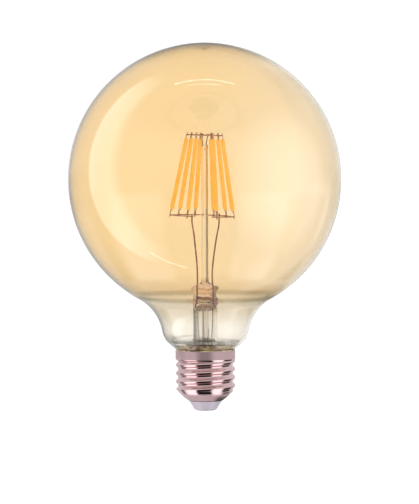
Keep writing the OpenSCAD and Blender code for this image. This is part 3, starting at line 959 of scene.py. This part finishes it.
@dataclass
class Cage:
    """The filaments, the wire frames that they are welded to, and the wires that carry the frames.

    The left and right strings of filaments are given by the angle of each round the cage, in degrees from +X.
    """

    rod_top: float
    top_r: float = 7.6
    low_r: float = 14.0
    low_z: float = 85.5
    tilt: float = 2.0
    length: float = 36.0
    mid_x: float = -0.5
    frame_r: float = 0.24
    lead_r: float = 0.35
    anchor_r: float = 0.25
    coat_r: float = 0.95
    coat_from: float = 2.6
    coat_to: float = 34.4
    axis_out: float = 0.065
    tab_out: float = 0.3
    tab_l: float = 4.2
    tab_past: float = 1.0
    tab_steps: int = 8
    chip_pitch: float = 1.2
    left: tuple[float, ...] = (103.0, 137.0, 189.0, 243.0)
    right: tuple[float, ...] = (297.0, 348.0, 402.0, 429.0)
    lead_angles: Span = (251.0, 55.0)
    lead_past: float = 0.9
    press_top: float = 54.2
    welds: list[Vector] = field(default_factory=list)

    def __post_init__(self) -> None:
        """Works out the cage's lean and its height."""
        self.lean = math.asin((self.low_r - self.top_r) / self.length)
        self.top_z = self.low_z + self.length * math.cos(self.lean)
        self.mid_z = (self.low_z + self.top_z) / 2

    def tilted(self, point: Sequence[float]) -> Vector:
        """Where the cage's tilt carries a point of the upright cage."""
        turn = Matrix.Rotation(math.radians(self.tilt), 3, "Y")
        return turn @ (Vector(point) - Vector((0, 0, self.mid_z))) + Vector((self.mid_x, 0, self.mid_z))

    def on_ring(self, radius: float, angle: float, z: float) -> Vector:
        """A point on a level ring of the cage."""
        a = math.radians(angle)
        return self.tilted((radius * math.cos(a), radius * math.sin(a), z))

    def chord(self, radius: float, start: float, end: float, angle: float) -> float:
        """How far out a straight frame wire lies at angle, between its corners at start and end."""
        half = math.radians((end - start) / 2)
        return radius * math.cos(half) / math.cos(math.radians(angle - (start + end) / 2))

    def on_filament(self, angle: float, along: float, out: float = 0.0) -> Vector:
        """A point on a filament, or just off it.

        Args:
            angle: The filament's angle round the cage.
            along: How far along the filament it is from the lower weld.
            out: How far out it is from the filament's axis.

        Returns:
            The point, in millimetres.
        """
        reach = self.low_r + self.axis_out - along * math.sin(self.lean) + out * math.cos(self.lean)
        rise = self.low_z + along * math.cos(self.lean) + out * math.sin(self.lean)
        return self.on_ring(reach, angle, rise)

    def build_coats(self) -> None:
        """Grows the silicone on every filament, with a faint swell over each chip and rounded ends."""
        sizes = {
            "Coat radius": self.coat_r * MM, "End rounding": 0.7 * MM,
            "Chip pitch": self.chip_pitch * MM, "Chip swell": 0.035, "Mean width": 0.965,
            "Rings": 260, "Sides": 20,
        }
        g = Growth("filament_coats", sizes)
        path = g.add("GeometryNodeMeshToCurve", {"Mesh": g.given["Geometry"]})
        fine = g.add("GeometryNodeResampleCurve", {"Curve": path.outputs[0], "Count": g.given["Rings"]})
        where = g.add("GeometryNodeSplineParameter")
        whole = g.add("GeometryNodeSplineLength")
        along = where.outputs["Length"]
        left = g.math("SUBTRACT", whole.outputs["Length"], along)
        edge = g.math("MINIMUM", along, left)
        near = g.math("SUBTRACT", 1.0, g.math("DIVIDE", edge, g.given["End rounding"]), clamp=True)
        cap = g.math("SQRT", g.math("SUBTRACT", 1.002, g.math("MULTIPLY", near, near)))
        turns = g.math("DIVIDE", along, g.given["Chip pitch"])
        wave = g.math("COSINE", g.math("MULTIPLY", turns, 2 * math.pi))
        swell = g.math("MULTIPLY_ADD", wave, g.given["Chip swell"], g.given["Mean width"])
        feeds = {"Curve": fine.outputs[0], "Radius": g.math("MULTIPLY", cap, swell)}
        shaped = g.add("GeometryNodeSetCurveRadius", feeds)
        feeds = {"Resolution": g.given["Sides"], "Radius": g.given["Coat radius"]}
        section = g.add("GeometryNodeCurvePrimitiveCircle", feeds, mode="RADIUS")
        feeds = {
            "Curve": shaped.outputs[0], "Profile Curve": section.outputs[0], "Fill Caps": True,
            "Scale": g.add("GeometryNodeInputRadius").outputs[0],
        }
        g.finish(g.add("GeometryNodeCurveToMesh", feeds).outputs[0], Slot.COAT)
        points: list[Vector] = []
        for angle in (*self.left, *self.right):
            points += [self.on_filament(angle, s) for s in (self.coat_from, self.coat_to)]
        mesh = g.run("filament_coats", points, [(i, i + 1) for i in range(0, len(points), 2)])
        fit("filament_coats", mesh, Slot.COAT, *(f"filament_coat_{i}" for i in FILAMENTS))

    def tab_corners(self, angle: float, start: float, end: float) -> list[Vector]:
        """The corners of a flat tab, section by section, with a soft crank where it leaves the silicone.

        Args:
            angle: The filament's angle round the cage.
            start: Where the tab's free end is, along the filament.
            end: Where its other end is, inside the silicone.

        Returns:
            Four corners for each section, from start to end.
        """
        points: list[Vector] = []
        for i in range(self.tab_steps + 1):
            s = start + (end - start) * i / self.tab_steps
            crank = 0.08 * math.sin(math.pi * min(max((i - 2) / 3, 0.0), 1.0))
            wide = 0.4 if i > 2 else 0.34 + 0.03 * i
            mid = self.on_filament(angle, s, self.tab_out + crank)
            out = (self.on_filament(angle, s, self.tab_out + crank + 1) - mid) * 0.115
            side = (self.on_ring(10, angle + 90, 0) - self.on_ring(0, angle, 0)) * 0.1 * wide
            points += [mid + out + side, mid + out - side, mid - out - side, mid - out + side]
        return points

    def build_tabs(self) -> None:
        """Skins the two flat end tabs of every filament."""
        low, high = -self.tab_past, self.length + self.tab_past
        last = 4 * self.tab_steps
        points: list[Vector] = []
        faces: list[tuple[int, ...]] = []
        for angle in (*self.left, *self.right):
            for start, end in ((low, low + self.tab_l), (high, high - self.tab_l)):
                base = len(points)
                points += self.tab_corners(angle, start, end)
                for a in range(base, base + last, 4):
                    faces += [(a + k, a + (k + 1) % 4, a + (k + 1) % 4 + 4, a + k + 4) for k in range(4)]
                faces += [(base + 3, base + 2, base + 1, base), tuple(base + last + k for k in range(4))]
        mesh = to_mesh("filament_tabs", points, faces)
        mesh.set_sharp_from_angle(angle=math.radians(30))
        fit("filament_tabs", mesh, Slot.TAB, *(f"filament_tabs_{i}" for i in FILAMENTS))

    def build_frames(self) -> None:
        """Bends the top frame and the two half frames, and notes where the tabs are welded to them."""
        wire = wire_growth(self.frame_r, 0.9, Slot.FRAME)
        ring = [self.on_ring(self.top_r, a, self.top_z) for a in (*self.left, *self.right)]
        fit("top_frame", wire.run("top_frame", ring, chain(8, closed=True)), Slot.FRAME, "top_frame")
        self.welds += ring
        for name, angles in (("lower_frame_left", self.left), ("lower_frame_right", self.right)):
            ends = (angles[0] - 10, *angles, angles[-1] + 10)
            bow = [self.on_ring(self.low_r, a, self.low_z) for a in ends]
            fit(name, wire.run(name, bow, chain(len(bow))), Slot.FRAME, name)
            self.welds += bow[1:-1]

    def build_leads(self) -> None:
        """Bends the two leads from the press up to the half frames."""
        weld = 0.96 * (self.frame_r + self.lead_r)
        foot = self.press_top
        left = [(-3.3, 0, foot), (-3.35, -0.5, 58), (-3.5, -2.5, 64), (-4.15, -6.2, 71.5), (-4.8, -9.6, 78)]
        right = [(3.3, 0, foot), (3.2, 0.5, 57.5), (3.25, 1.6, 62), (4, 4, 68.5), (5.1, 7.2, 75.5)]
        left_at, right_at = self.lead_angles
        corner = self.right[2] - 360, self.right[3] - 360
        left_r = self.low_r - weld
        right_r = self.chord(self.low_r, *corner, right_at) - weld
        wire = wire_growth(self.lead_r, 0.3, Slot.LEAD)
        for name, start, radius, angle, below in (
            ("inner_lead_left", left, left_r, left_at, 2.4),
            ("inner_lead_right", right, right_r, right_at, 4.0),
        ):
            tip = [self.on_ring(radius, angle, self.low_z + rise) for rise in (-below, self.lead_past)]
            path = glide([*map(Vector, start), *tip], 10)
            fit(name, wire.run(name, path, chain(len(path))), Slot.LEAD, name)
            self.welds.append(tip[1] - Vector((0, 0, self.lead_past)))

    def build_anchors(self) -> None:
        """Bends the two thin anchors from the rod's knob up to the top frame."""
        thin = wire_growth(self.anchor_r, 0.2, Slot.TINNED)
        for name, side, angle, corners_at in (
            ("rod_anchor_front", -1, 261, (self.left[3], self.right[0])),
            ("rod_anchor_back", 1, 78, (self.right[3] - 360, self.left[0])),
        ):
            reach = self.chord(self.top_r, *corners_at, angle) - 0.35
            top = self.on_ring(reach, angle, self.top_z + 0.33)
            foot_x = side * 0.7
            bend = [(foot_x, 0, self.rod_top), (foot_x * 1.4, side * 1.6, self.rod_top + 1.4)]
            foot = Vector((foot_x, 0, self.rod_top - 0.9))
            path = [foot, *glide([*map(Vector, bend), top], 8)]
            fit(name, thin.run(name, path, chain(len(path))), Slot.TINNED, name)
            self.welds.append(top)

    def build_welds(self) -> None:
        """Grows a small lump of metal at every weld, each of its own size."""
        g = Growth("weld_lumps", {"Lump radius": 0.42 * MM, "Smallest": 0.7, "Largest": 1.15, "Seed": 7})
        lump = g.add("GeometryNodeMeshIcoSphere", {"Radius": g.given["Lump radius"], "Subdivisions": 2})
        feeds = {2: g.given["Smallest"], 3: g.given["Largest"], "Seed": g.given["Seed"]}
        spread = g.add("FunctionNodeRandomValue", feeds, data_type="FLOAT")
        feeds = {"Points": g.given["Geometry"], "Instance": lump.outputs[0], "Scale": spread.outputs[1]}
        g.finish(g.add("GeometryNodeInstanceOnPoints", feeds).outputs[0], Slot.SEAL_WIRE)
        fit("weld_lumps", g.run("weld_lumps", self.welds, []), Slot.SEAL_WIRE)

    def build(self) -> None:
        """Builds the cage from the filaments outwards."""
        self.build_coats()
        self.build_tabs()
        self.build_frames()
        self.build_leads()
        self.build_anchors()
        self.build_welds()


@dataclass
class Cap:
    """The screw shell with its plug, its contact and the cement that holds the neck."""

    envelope: Envelope
    rim_r: float = 13.2
    rim_z: float = 26.5
    rim_from: float = 22.7
    crest_r: float = 13.15
    deep: float = 1.1
    pitch: float = 3.629
    crest_z: float = 18.19
    fade_z: float = 21.6
    lip_z: float = 4.2
    lip_r: float = 7.4
    shoulder_r: float = 25.0
    shoulder_rise: float = 34.0
    sheet: float = 0.25
    rim_gap: float = 0.01
    smear_from: float = 27.9
    smear_step: float = 0.17
    smear_depths: Span = (0.006, 0.034)
    wander_over: float = 26.0

    def build_shell(self) -> None:
        """Grows the rolled shell from a flat sheet.

        A point's height and its turn round the axis give its radius: a wave that climbs by one pitch a turn,
        which runs out into the plain rim above and into the rounded shoulder below.
        """
        rise = math.radians(self.shoulder_rise)
        sizes = {
            "Crest radius": self.crest_r * MM, "Thread depth": self.deep * MM, "Pitch": self.pitch * MM,
            "Crest height": self.crest_z * MM, "Rim radius": (self.rim_r - self.rim_gap) * MM,
            "Rim foot": self.rim_from * MM, "Thread end": self.fade_z * MM, "Lip height": self.lip_z * MM,
            "Rim height": self.rim_z * MM, "Shoulder radius": self.shoulder_r * MM,
            "Shoulder centre radius": (self.lip_r - self.shoulder_r * math.sin(rise)) * MM,
            "Shoulder centre height": (self.lip_z + self.shoulder_r * math.cos(rise)) * MM,
            "Points round": 160, "Rows": 240,
        }
        g = Growth("rolled_thread", sizes)
        take, m = g.given, g.math
        tall = m("SUBTRACT", take["Rim height"], take["Lip height"])
        feeds = {
            "Size X": 2 * math.pi, "Size Y": tall,
            "Vertices X": take["Points round"], "Vertices Y": take["Rows"],
        }
        sheet = g.add("GeometryNodeMeshGrid", feeds)
        spot = g.split(g.add("GeometryNodeInputPosition").outputs[0])
        turn = m("ADD", spot["X"], math.pi)
        z = m("ADD", m("ADD", spot["Y"], m("MULTIPLY", tall, 0.5)), take["Lip height"])
        lead = m("DIVIDE", m("SUBTRACT", z, take["Crest height"]), take["Pitch"])
        phase = m("SUBTRACT", lead, m("DIVIDE", turn, 2 * math.pi))
        half = m("MULTIPLY", take["Thread depth"], 0.5)
        wave = m("MULTIPLY", half, m("COSINE", m("MULTIPLY", phase, 2 * math.pi)))
        screw = m("ADD", m("SUBTRACT", take["Crest radius"], half), wave)
        done = g.ramp(z, take["Thread end"], take["Rim foot"])
        screw_share = m("MULTIPLY", screw, m("SUBTRACT", 1.0, done))
        body = m("ADD", screw_share, m("MULTIPLY", take["Rim radius"], done))
        below = m("MAXIMUM", m("SUBTRACT", take["Shoulder centre height"], z), 0.0)
        inner = m("SUBTRACT", m("POWER", take["Shoulder radius"], 2.0), m("POWER", below, 2.0))
        shoulder = m("ADD", take["Shoulder centre radius"], m("SQRT", inner))
        radius = m("SMOOTH_MIN", body, shoulder, 0.3 * MM)
        feeds = {
            "X": m("MULTIPLY", radius, m("COSINE", turn)),
            "Y": m("MULTIPLY", radius, m("SINE", turn)),
            "Z": z,
        }
        place = g.add("ShaderNodeCombineXYZ", feeds).outputs[0]
        spun = g.add("GeometryNodeSetPosition", {"Geometry": sheet.outputs[0], "Position": place})
        closed = g.add("GeometryNodeMergeByDistance", {"Geometry": spun.outputs[0], "Distance": 0.001 * MM})
        g.finish(closed.outputs[0], Slot.SHELL)
        mesh = g.run("screw_shell", [(0, 0, 0)], [])
        piece = fit("screw_shell_skin", mesh, Slot.SHELL, "screw_shell")
        wall = piece.modifiers.new("sheet_metal", "SOLIDIFY")
        wall.thickness = self.sheet * MM
        wall.offset = -1.0

    def build_plug(self) -> None:
        """Turns the insulating plug and the contact plate under it."""
        lip = self.lip_z
        plug = [
            (0.6, 6.4), (0.6, 4.4), (1.35, 4.2), (1.35, 0.72), (4.5, 0.72), (4.62, 0.62), (4.7, 0.48),
            (4.85, 0.44), (5.05, 0.62), (5.3, 1.0), (5.75, 1.75), (6.4, 2.8), (7.05, 3.8), (7.22, 4.08),
            (7.2, lip), (6.95, lip), (6.95, lip + 0.1), (8.0, 5.0), (9.4, 6.4),
        ]
        fit("plug", lathe("plug", plug, 96, 35.0), Slot.INSULATOR, "cap_insulator")
        contact = [
            (0.0, 0.0), (2.6, 0.0), (3.6, 0.03), (4.1, 0.12), (4.33, 0.27), (4.4, 0.45), (4.4, 0.7),
            (1.33, 0.7), (1.33, 4.18), (0.4, 4.18), (0.4, 1.0), (0.0, 1.0),
        ]
        fit("contact", lathe("contact", contact, 96, 35.0), Slot.CONTACT, "centre_contact")

    def uneven(self, outline: Outline, lift: float, count: int = 120) -> list[Ring]:
        """Turns a bead of cement whose upper part rises and falls as it goes round.

        Args:
            outline: The bead's section, as (radius, height) pairs.
            lift: How far it rises and falls, in millimetres.
            count: How many points each ring has.

        Returns:
            A ring for each point of the section.
        """
        rings = []
        for r, z in outline:
            ring = []
            for k, (x, y, h) in enumerate(round_ring(r, z, count)):
                a = 2 * math.pi * k / count
                wander = math.sin(5 * a + 0.7) + 0.6 * math.cos(11 * a) + 0.4 * math.sin(23 * a + 2 * r)
                ring.append((x, y, h + (lift * wander if h > self.wander_over else 0.0)))
            rings.append(ring)
        return rings

    def build_cement(self) -> None:
        """Lays the cement: the bead round the neck, the bank inside it and the thin smear over the bank."""
        bead = [
            (12.83, 22.65), (12.84, 26.3), (12.98, 26.6), (13.0, 26.8), (12.86, 26.95), (12.66, 26.85),
            (12.4, 26.42), (12.2, 26.0), (12.17, 22.65),
        ]
        fit("cement", loft("cement", self.uneven(bead, 0.1), 45.0), Slot.CEMENT, "base_cement")
        bank = [
            (11.5, 26.6), (12.0, 27.25), (12.95, 28.1), (12.4, 28.6), (9.8, 28.75), (7.6, 28.5),
            (6.3, 27.9), (6.3, 26.6),
        ]
        fit("cement_bank", loft("cement_bank", self.uneven(bank, 0.14), 45.0), Slot.CEMENT)
        up = [self.smear_from + self.smear_step * i for i in range(11)]
        smear = [
            (self.envelope.inside_at(z) - depth, z)
            for depth, heights in zip(self.smear_depths, (up, up[::-1])) for z in heights
        ]
        fit("cement_smear", lathe("cement_smear", smear, 160), Slot.CEMENT)

    def build(self) -> None:
        """Builds the cap from the shell inwards."""
        self.build_shell()
        self.build_plug()
        self.build_cement()


class Sees(Enum):
    """What a panel of the studio shows in."""

    GLOSS = "the outer gloss of metal and glass"
    GLASS = "the light that has passed through glass"
    BOTH = "both of them"


@dataclass(frozen=True)
class Panel:
    """A patch of the studio's walls, given by the facings whose mirror image it fills.

    Bearing 0 faces the front and 90 the right; height is upwards from level; both are in degrees. The soft
    values are how wide its edges fade, in bearing and in height. One on both sides is mirrored to the left.
    """

    bearing: Span
    height: Span
    glow: float
    soft: Span = (6.0, 3.0)
    both: bool = False
    sees: Sees = Sees.GLOSS


@dataclass(frozen=True)
class SoftBox:
    """An area light that only the globe's gloss sees, hung at a bearing and height and fading to its edges.

    The fades are the shares of its width at its two sides, and of its length at both ends, over which it
    dims. The turn, in degrees, spins it in its own plane. It hangs at a distance, away, from the globe's
    middle.
    """

    name: str
    bearing: float
    height: float
    wide: float
    tall: float
    glow: float
    fades: tuple[float, float, float]
    turn: float = 0.0
    away: float = 0.62
    centre_z: float = 0.1015

    def shade(self, tree: bpy.types.NodeTree) -> None:
        """Dims the light towards its edges.

        Args:
            tree: The light's node tree.
        """
        tree.nodes.clear()
        g = Graph(tree)
        spot = g.split(g.add("ShaderNodeNewGeometry").outputs["Parametric"])
        near, far, ends = (max(f, 0.001) for f in self.fades)
        across = g.between(spot["X"], (0.0, near), (1.0 - far, 1.0))
        along = g.between(spot["Y"], (0.0, ends), (1.0 - ends, 1.0))
        glow = g.add("ShaderNodeEmission", {"Strength": g.math("MULTIPLY", across, along)})
        g.add("ShaderNodeOutputLight", {"Surface": glow.outputs[0]})

    def hang(self, lit: bpy.types.Collection) -> None:
        """Hangs the light.

        Args:
            lit: The collection of pieces that it shines on, and on nothing else.
        """
        data = bpy.data.lights.new(self.name, "AREA")
        data.shape, data.size, data.size_y = "RECTANGLE", self.wide, self.tall
        data.energy = self.glow * math.pi * self.wide * self.tall
        data.use_nodes = True
        self.shade(data.node_tree)
        box = bpy.data.objects.new(self.name, data)
        a, e = math.radians(self.bearing), math.radians(self.height)
        way = Vector((math.sin(a) * math.cos(e), -math.cos(a) * math.cos(e), math.sin(e)))
        turn = way.to_track_quat("Z", "Y").to_matrix() @ Matrix.Rotation(math.radians(self.turn), 3, "Z")
        middle = Vector((0.0, 0.0, self.centre_z))
        box.matrix_world = Matrix.Translation(middle + way * self.away) @ turn.to_4x4()
        box.visible_camera = box.visible_diffuse = box.visible_transmission = False
        bpy.context.scene.collection.objects.link(box)
        box.light_linking.receiver_collection = lit


@dataclass
class Studio:
    """A white room with soft panels, a pale floor, and the camera.

    The room glows by background where it is seen plainly, and by matt where it lights dull faces. In a gloss
    and through glass it dims from the first level of the pair to the second, over the heights given in
    degrees. The panels' mirror images are worked out for one fixed direction through the room, sight.
    """

    background: float = 1.1
    matt: float = 0.95
    gloss: Span = (0.78, 0.66)
    gloss_dims: Span = (20.0, 60.0)
    through: Span = (1.13, 0.2)
    through_dims: Span = (24.0, 50.0)
    camera_at: tuple[float, float, float] = (0.0, -1.5, 0.13)
    aim: tuple[float, float, float] = (0.002, 0.0, 0.0696)
    lens_mm: float = 244.1
    roll: float = -0.25
    floor_radii: tuple[float, ...] = (12000.0, 2000.0, 500.0, 0.0)
    boxes: tuple[SoftBox, ...] = (
        SoftBox("soft_box_right", 70.0, -2.0, 1.6, 1.6, 2.9, (0.5, 0.5, 0.5)),
        SoftBox("strip_left", -90.0, 3.0, 0.47, 3.0, 2.5, (0.1, 0.4, 0.34), 15.6),
        SoftBox("fill_low", -4.0, -50.0, 0.66, 1.2, 0.78, (0.2, 0.2, 0.16)),
        SoftBox("fill_low_right", 113.0, -34.0, 0.5, 0.95, 0.72, (0.25, 0.25, 0.2)),
        SoftBox("tube_overhead", 0.0, 89.0, 0.4, 0.014, 5.0, (0.02, 0.02, 0.0)),
        SoftBox("tube_overhead_front", 0.0, 84.0, 0.22, 0.01, 4.0, (0.02, 0.02, 0.0)),
        SoftBox("tube_low", -60.0, -62.0, 0.012, 0.3, 5.0, (0.0, 0.0, 0.05), 30.0),
    )
    sight: tuple[float, float, float] = (0.0, 0.997, -0.0767)
    walls: tuple[Panel, ...] = (
        Panel((-100.0, 74.0), (64.0, 97.0), 0.34, (44.0, 14.0), both=True, sees=Sees.BOTH),
        Panel((-84.0, -48.0), (-52.0, 62.0), 0.3, (10.0, 26.0), sees=Sees.GLASS),
        Panel((-84.0, -26.0), (40.0, 80.0), 0.3, (14.0, 20.0), sees=Sees.GLASS),
        Panel((-100.0, 100.0), (-10.0, 9.0), 0.6, (8.0, 6.0)),
        Panel((66.0, 100.0), (-46.0, -8.0), 0.72, (8.0, 6.0), both=True),
        Panel((-15.0, 12.0), (-6.0, 5.0), 0.3, (18.0, 7.0)),
        Panel((-57.0, -43.0), (-44.0, -3.0), 0.25, (9.0, 3.0)),
        Panel((-43.0, -17.0), (-44.0, -3.0), 1.7, (13.0, 4.0)),
        Panel((14.0, 38.0), (-44.0, -3.0), 1.6, (12.0, 4.0)),
        Panel((-17.0, 14.0), (-44.0, -2.5), 0.01, (6.0, 4.0)),
        Panel((38.0, 61.0), (-44.0, -3.0), 0.04, (8.0, 4.0)),
        Panel((-100.0, 100.0), (-95.0, -45.0), 0.62, (6.0, 4.0)),
        Panel((30.0, 76.0), (-68.0, -47.0), 0.12, (20.0, 8.0)),
    )

    def light_room(self) -> None:
        """Paints the room: a level that dims towards the ceiling, and the panels on top of it."""
        world = bpy.data.worlds.new("studio")
        world.use_nodes = True
        bpy.context.scene.world = world
        world.node_tree.nodes.clear()
        g = Graph(world.node_tree)
        spot = g.add("ShaderNodeTexCoord").outputs["Generated"]
        height = g.math("DEGREES", g.math("ARCSINE", g.split(spot)["Z"]))
        half_way = g.add("ShaderNodeVectorMath", {0: spot, 1: self.sight}, operation="SUBTRACT").outputs[0]
        mirror = g.split(g.add("ShaderNodeVectorMath", {0: half_way}, operation="NORMALIZE").outputs[0])
        turned = g.math("DEGREES", g.math("ARCTAN2", mirror["X"], g.math("MULTIPLY", mirror["Y"], -1.0)))
        raised = g.math("DEGREES", g.math("ARCSINE", mirror["Z"]))
        path = g.add("ShaderNodeLightPath").outputs
        refracted = path["Is Transmission Ray"]
        seen = {Sees.GLOSS: g.math("SUBTRACT", 1.0, refracted), Sees.GLASS: refracted, Sees.BOTH: 1.0}
        clear = g.ramp(height, *self.through_dims, self.through)
        light = g.ramp(height, *self.gloss_dims, self.gloss)
        light = g.math("ADD", light, g.math("MULTIPLY", refracted, g.math("SUBTRACT", clear, light)))
        for p in self.walls:
            side = g.math("ABSOLUTE", turned) if p.both else turned
            mask: Value = seen[p.sees]
            for value, (low, high), wide in ((side, p.bearing, p.soft[0]), (raised, p.height, p.soft[1])):
                fade = wide / 2
                inside = g.between(value, (low - fade, low + fade), (high - fade, high + fade))
                mask = g.math("MULTIPLY", mask, inside)
            light = g.math("MULTIPLY_ADD", g.math("SUBTRACT", p.glow, light), mask, light)
        keen = g.math("MAXIMUM", refracted, path["Is Glossy Ray"])
        plain = g.ramp(path["Is Camera Ray"], 0.0, 1.0, (self.matt, self.background))
        strength = g.math("ADD", plain, g.math("MULTIPLY", keen, g.math("SUBTRACT", light, plain)))
        sky = g.add("ShaderNodeBackground", {"Color": (1.0, 1.0, 1.0, 1.0), "Strength": strength})
        g.add("ShaderNodeOutputWorld", {"Surface": sky.outputs[0]})

    def hang_soft_boxes(self) -> None:
        """Hangs the soft boxes round the globe."""
        lit = bpy.data.collections.new("soft_boxes_shine_on")
        lit.objects.link(bpy.data.objects["globe"])
        for box in self.boxes:
            box.hang(lit)

    def lay_floor(self) -> None:
        """Lays a wide round floor, pale, and glowing enough to stay free of hard shadow."""
        material = bpy.data.materials.new("floor")
        material.use_nodes = True
        shader = material.node_tree.nodes["Principled BSDF"]
        shader.inputs["Base Color"].default_value = (0.2, 0.2, 0.2, 1.0)
        shader.inputs["Roughness"].default_value = 0.9
        shader.inputs["Specular IOR Level"].default_value = 0.0
        shader.inputs["Emission Color"].default_value = (1.0, 1.0, 1.0, 1.0)
        shader.inputs["Emission Strength"].default_value = 1.01
        mesh = lathe("floor", [(radius, 0.0) for radius in self.floor_radii], 96)
        mesh.materials.append(material)
        floor = bpy.data.objects.new("floor", mesh)
        bpy.context.scene.collection.objects.link(floor)
        floor.visible_glossy = floor.visible_transmission = False

    def set_camera(self) -> None:
        """Puts a long lens a little over the cage's height, looking slightly down."""
        data = bpy.data.cameras.new("camera")
        data.sensor_width = 36.0
        data.lens = self.lens_mm
        data.clip_start, data.clip_end = 0.05, 50.0
        camera = bpy.data.objects.new("camera", data)
        look = Vector(self.aim) - Vector(self.camera_at)
        turn = look.to_track_quat("-Z", "Y").to_matrix() @ Matrix.Rotation(math.radians(self.roll), 3, "Z")
        camera.matrix_world = Matrix.Translation(self.camera_at) @ turn.to_4x4()
        bpy.context.scene.collection.objects.link(camera)
        bpy.context.scene.camera = camera

    def build(self) -> None:
        """Builds the room, the floor and the camera."""
        self.light_room()
        self.hang_soft_boxes()
        self.lay_floor()
        self.set_camera()
        bpy.context.scene.view_settings.view_transform = "Standard"


@dataclass
class Carried:
    """The CAD nodes that keep their own mesh and only get a finish."""

    finishes: dict[Slot, tuple[str, ...]] = field(default_factory=lambda: {
        Slot.SEAL_WIRE: ("dumet_seal_left", "dumet_seal_right"),
        Slot.CARRIER: tuple(f"filament_strip_{i}" for i in FILAMENTS),
        Slot.CHIP: ("led_chips",),
        Slot.LINER: ("insulating_liner",),
        Slot.BOARD: ("driver_board",),
        Slot.PACKAGE: ("bridge_rectifier", "driver_chip", "board_resistors"),
        Slot.CAN: ("smoothing_capacitor",),
        Slot.FERRITE: ("filter_inductor",),
        Slot.FILM: ("film_capacitor",),
        Slot.RESISTOR: ("fusible_resistor",),
        Slot.RADIO_BOARD: ("wireless_board",),
        Slot.SHIELD: ("wireless_shield",),
        Slot.TINNED: ("outer_lead_left", "outer_lead_right", "antenna_wire", "centre_wire", "side_wire"),
    })

    def dress(self, nodes: dict[str, bpy.types.Object]) -> None:
        """Gives each carried node its slot's finish.

        Args:
            nodes: The frame's nodes, by name.
        """
        for slot, names in self.finishes.items():
            for name in names:
                materials = nodes[name].data.materials
                materials.clear()
                materials.append(STOCK[slot])
                LOG.info("%s: carried over, finish %s", name, slot.value)


def corners(box: tuple[Vector, Vector]) -> list[list[float]]:
    """A box's two corners as plain lists."""
    return [[float(v) for v in corner] for corner in box]


def main() -> None:
    """Builds the lamp and its studio."""
    logging.basicConfig(level=logging.INFO, format="%(name)s: %(message)s")
    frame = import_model()
    for finish in FINISHES:
        LOG.info("finish %s", finish.make().name)
    envelope = Envelope()
    stem = Stem(envelope)
    for part in (envelope, stem, Cage(stem.rod_top), Cap(envelope), Studio()):
        part.build()
    Carried().dress(frame["nodes"])


if __name__ == "__main__":
    main()
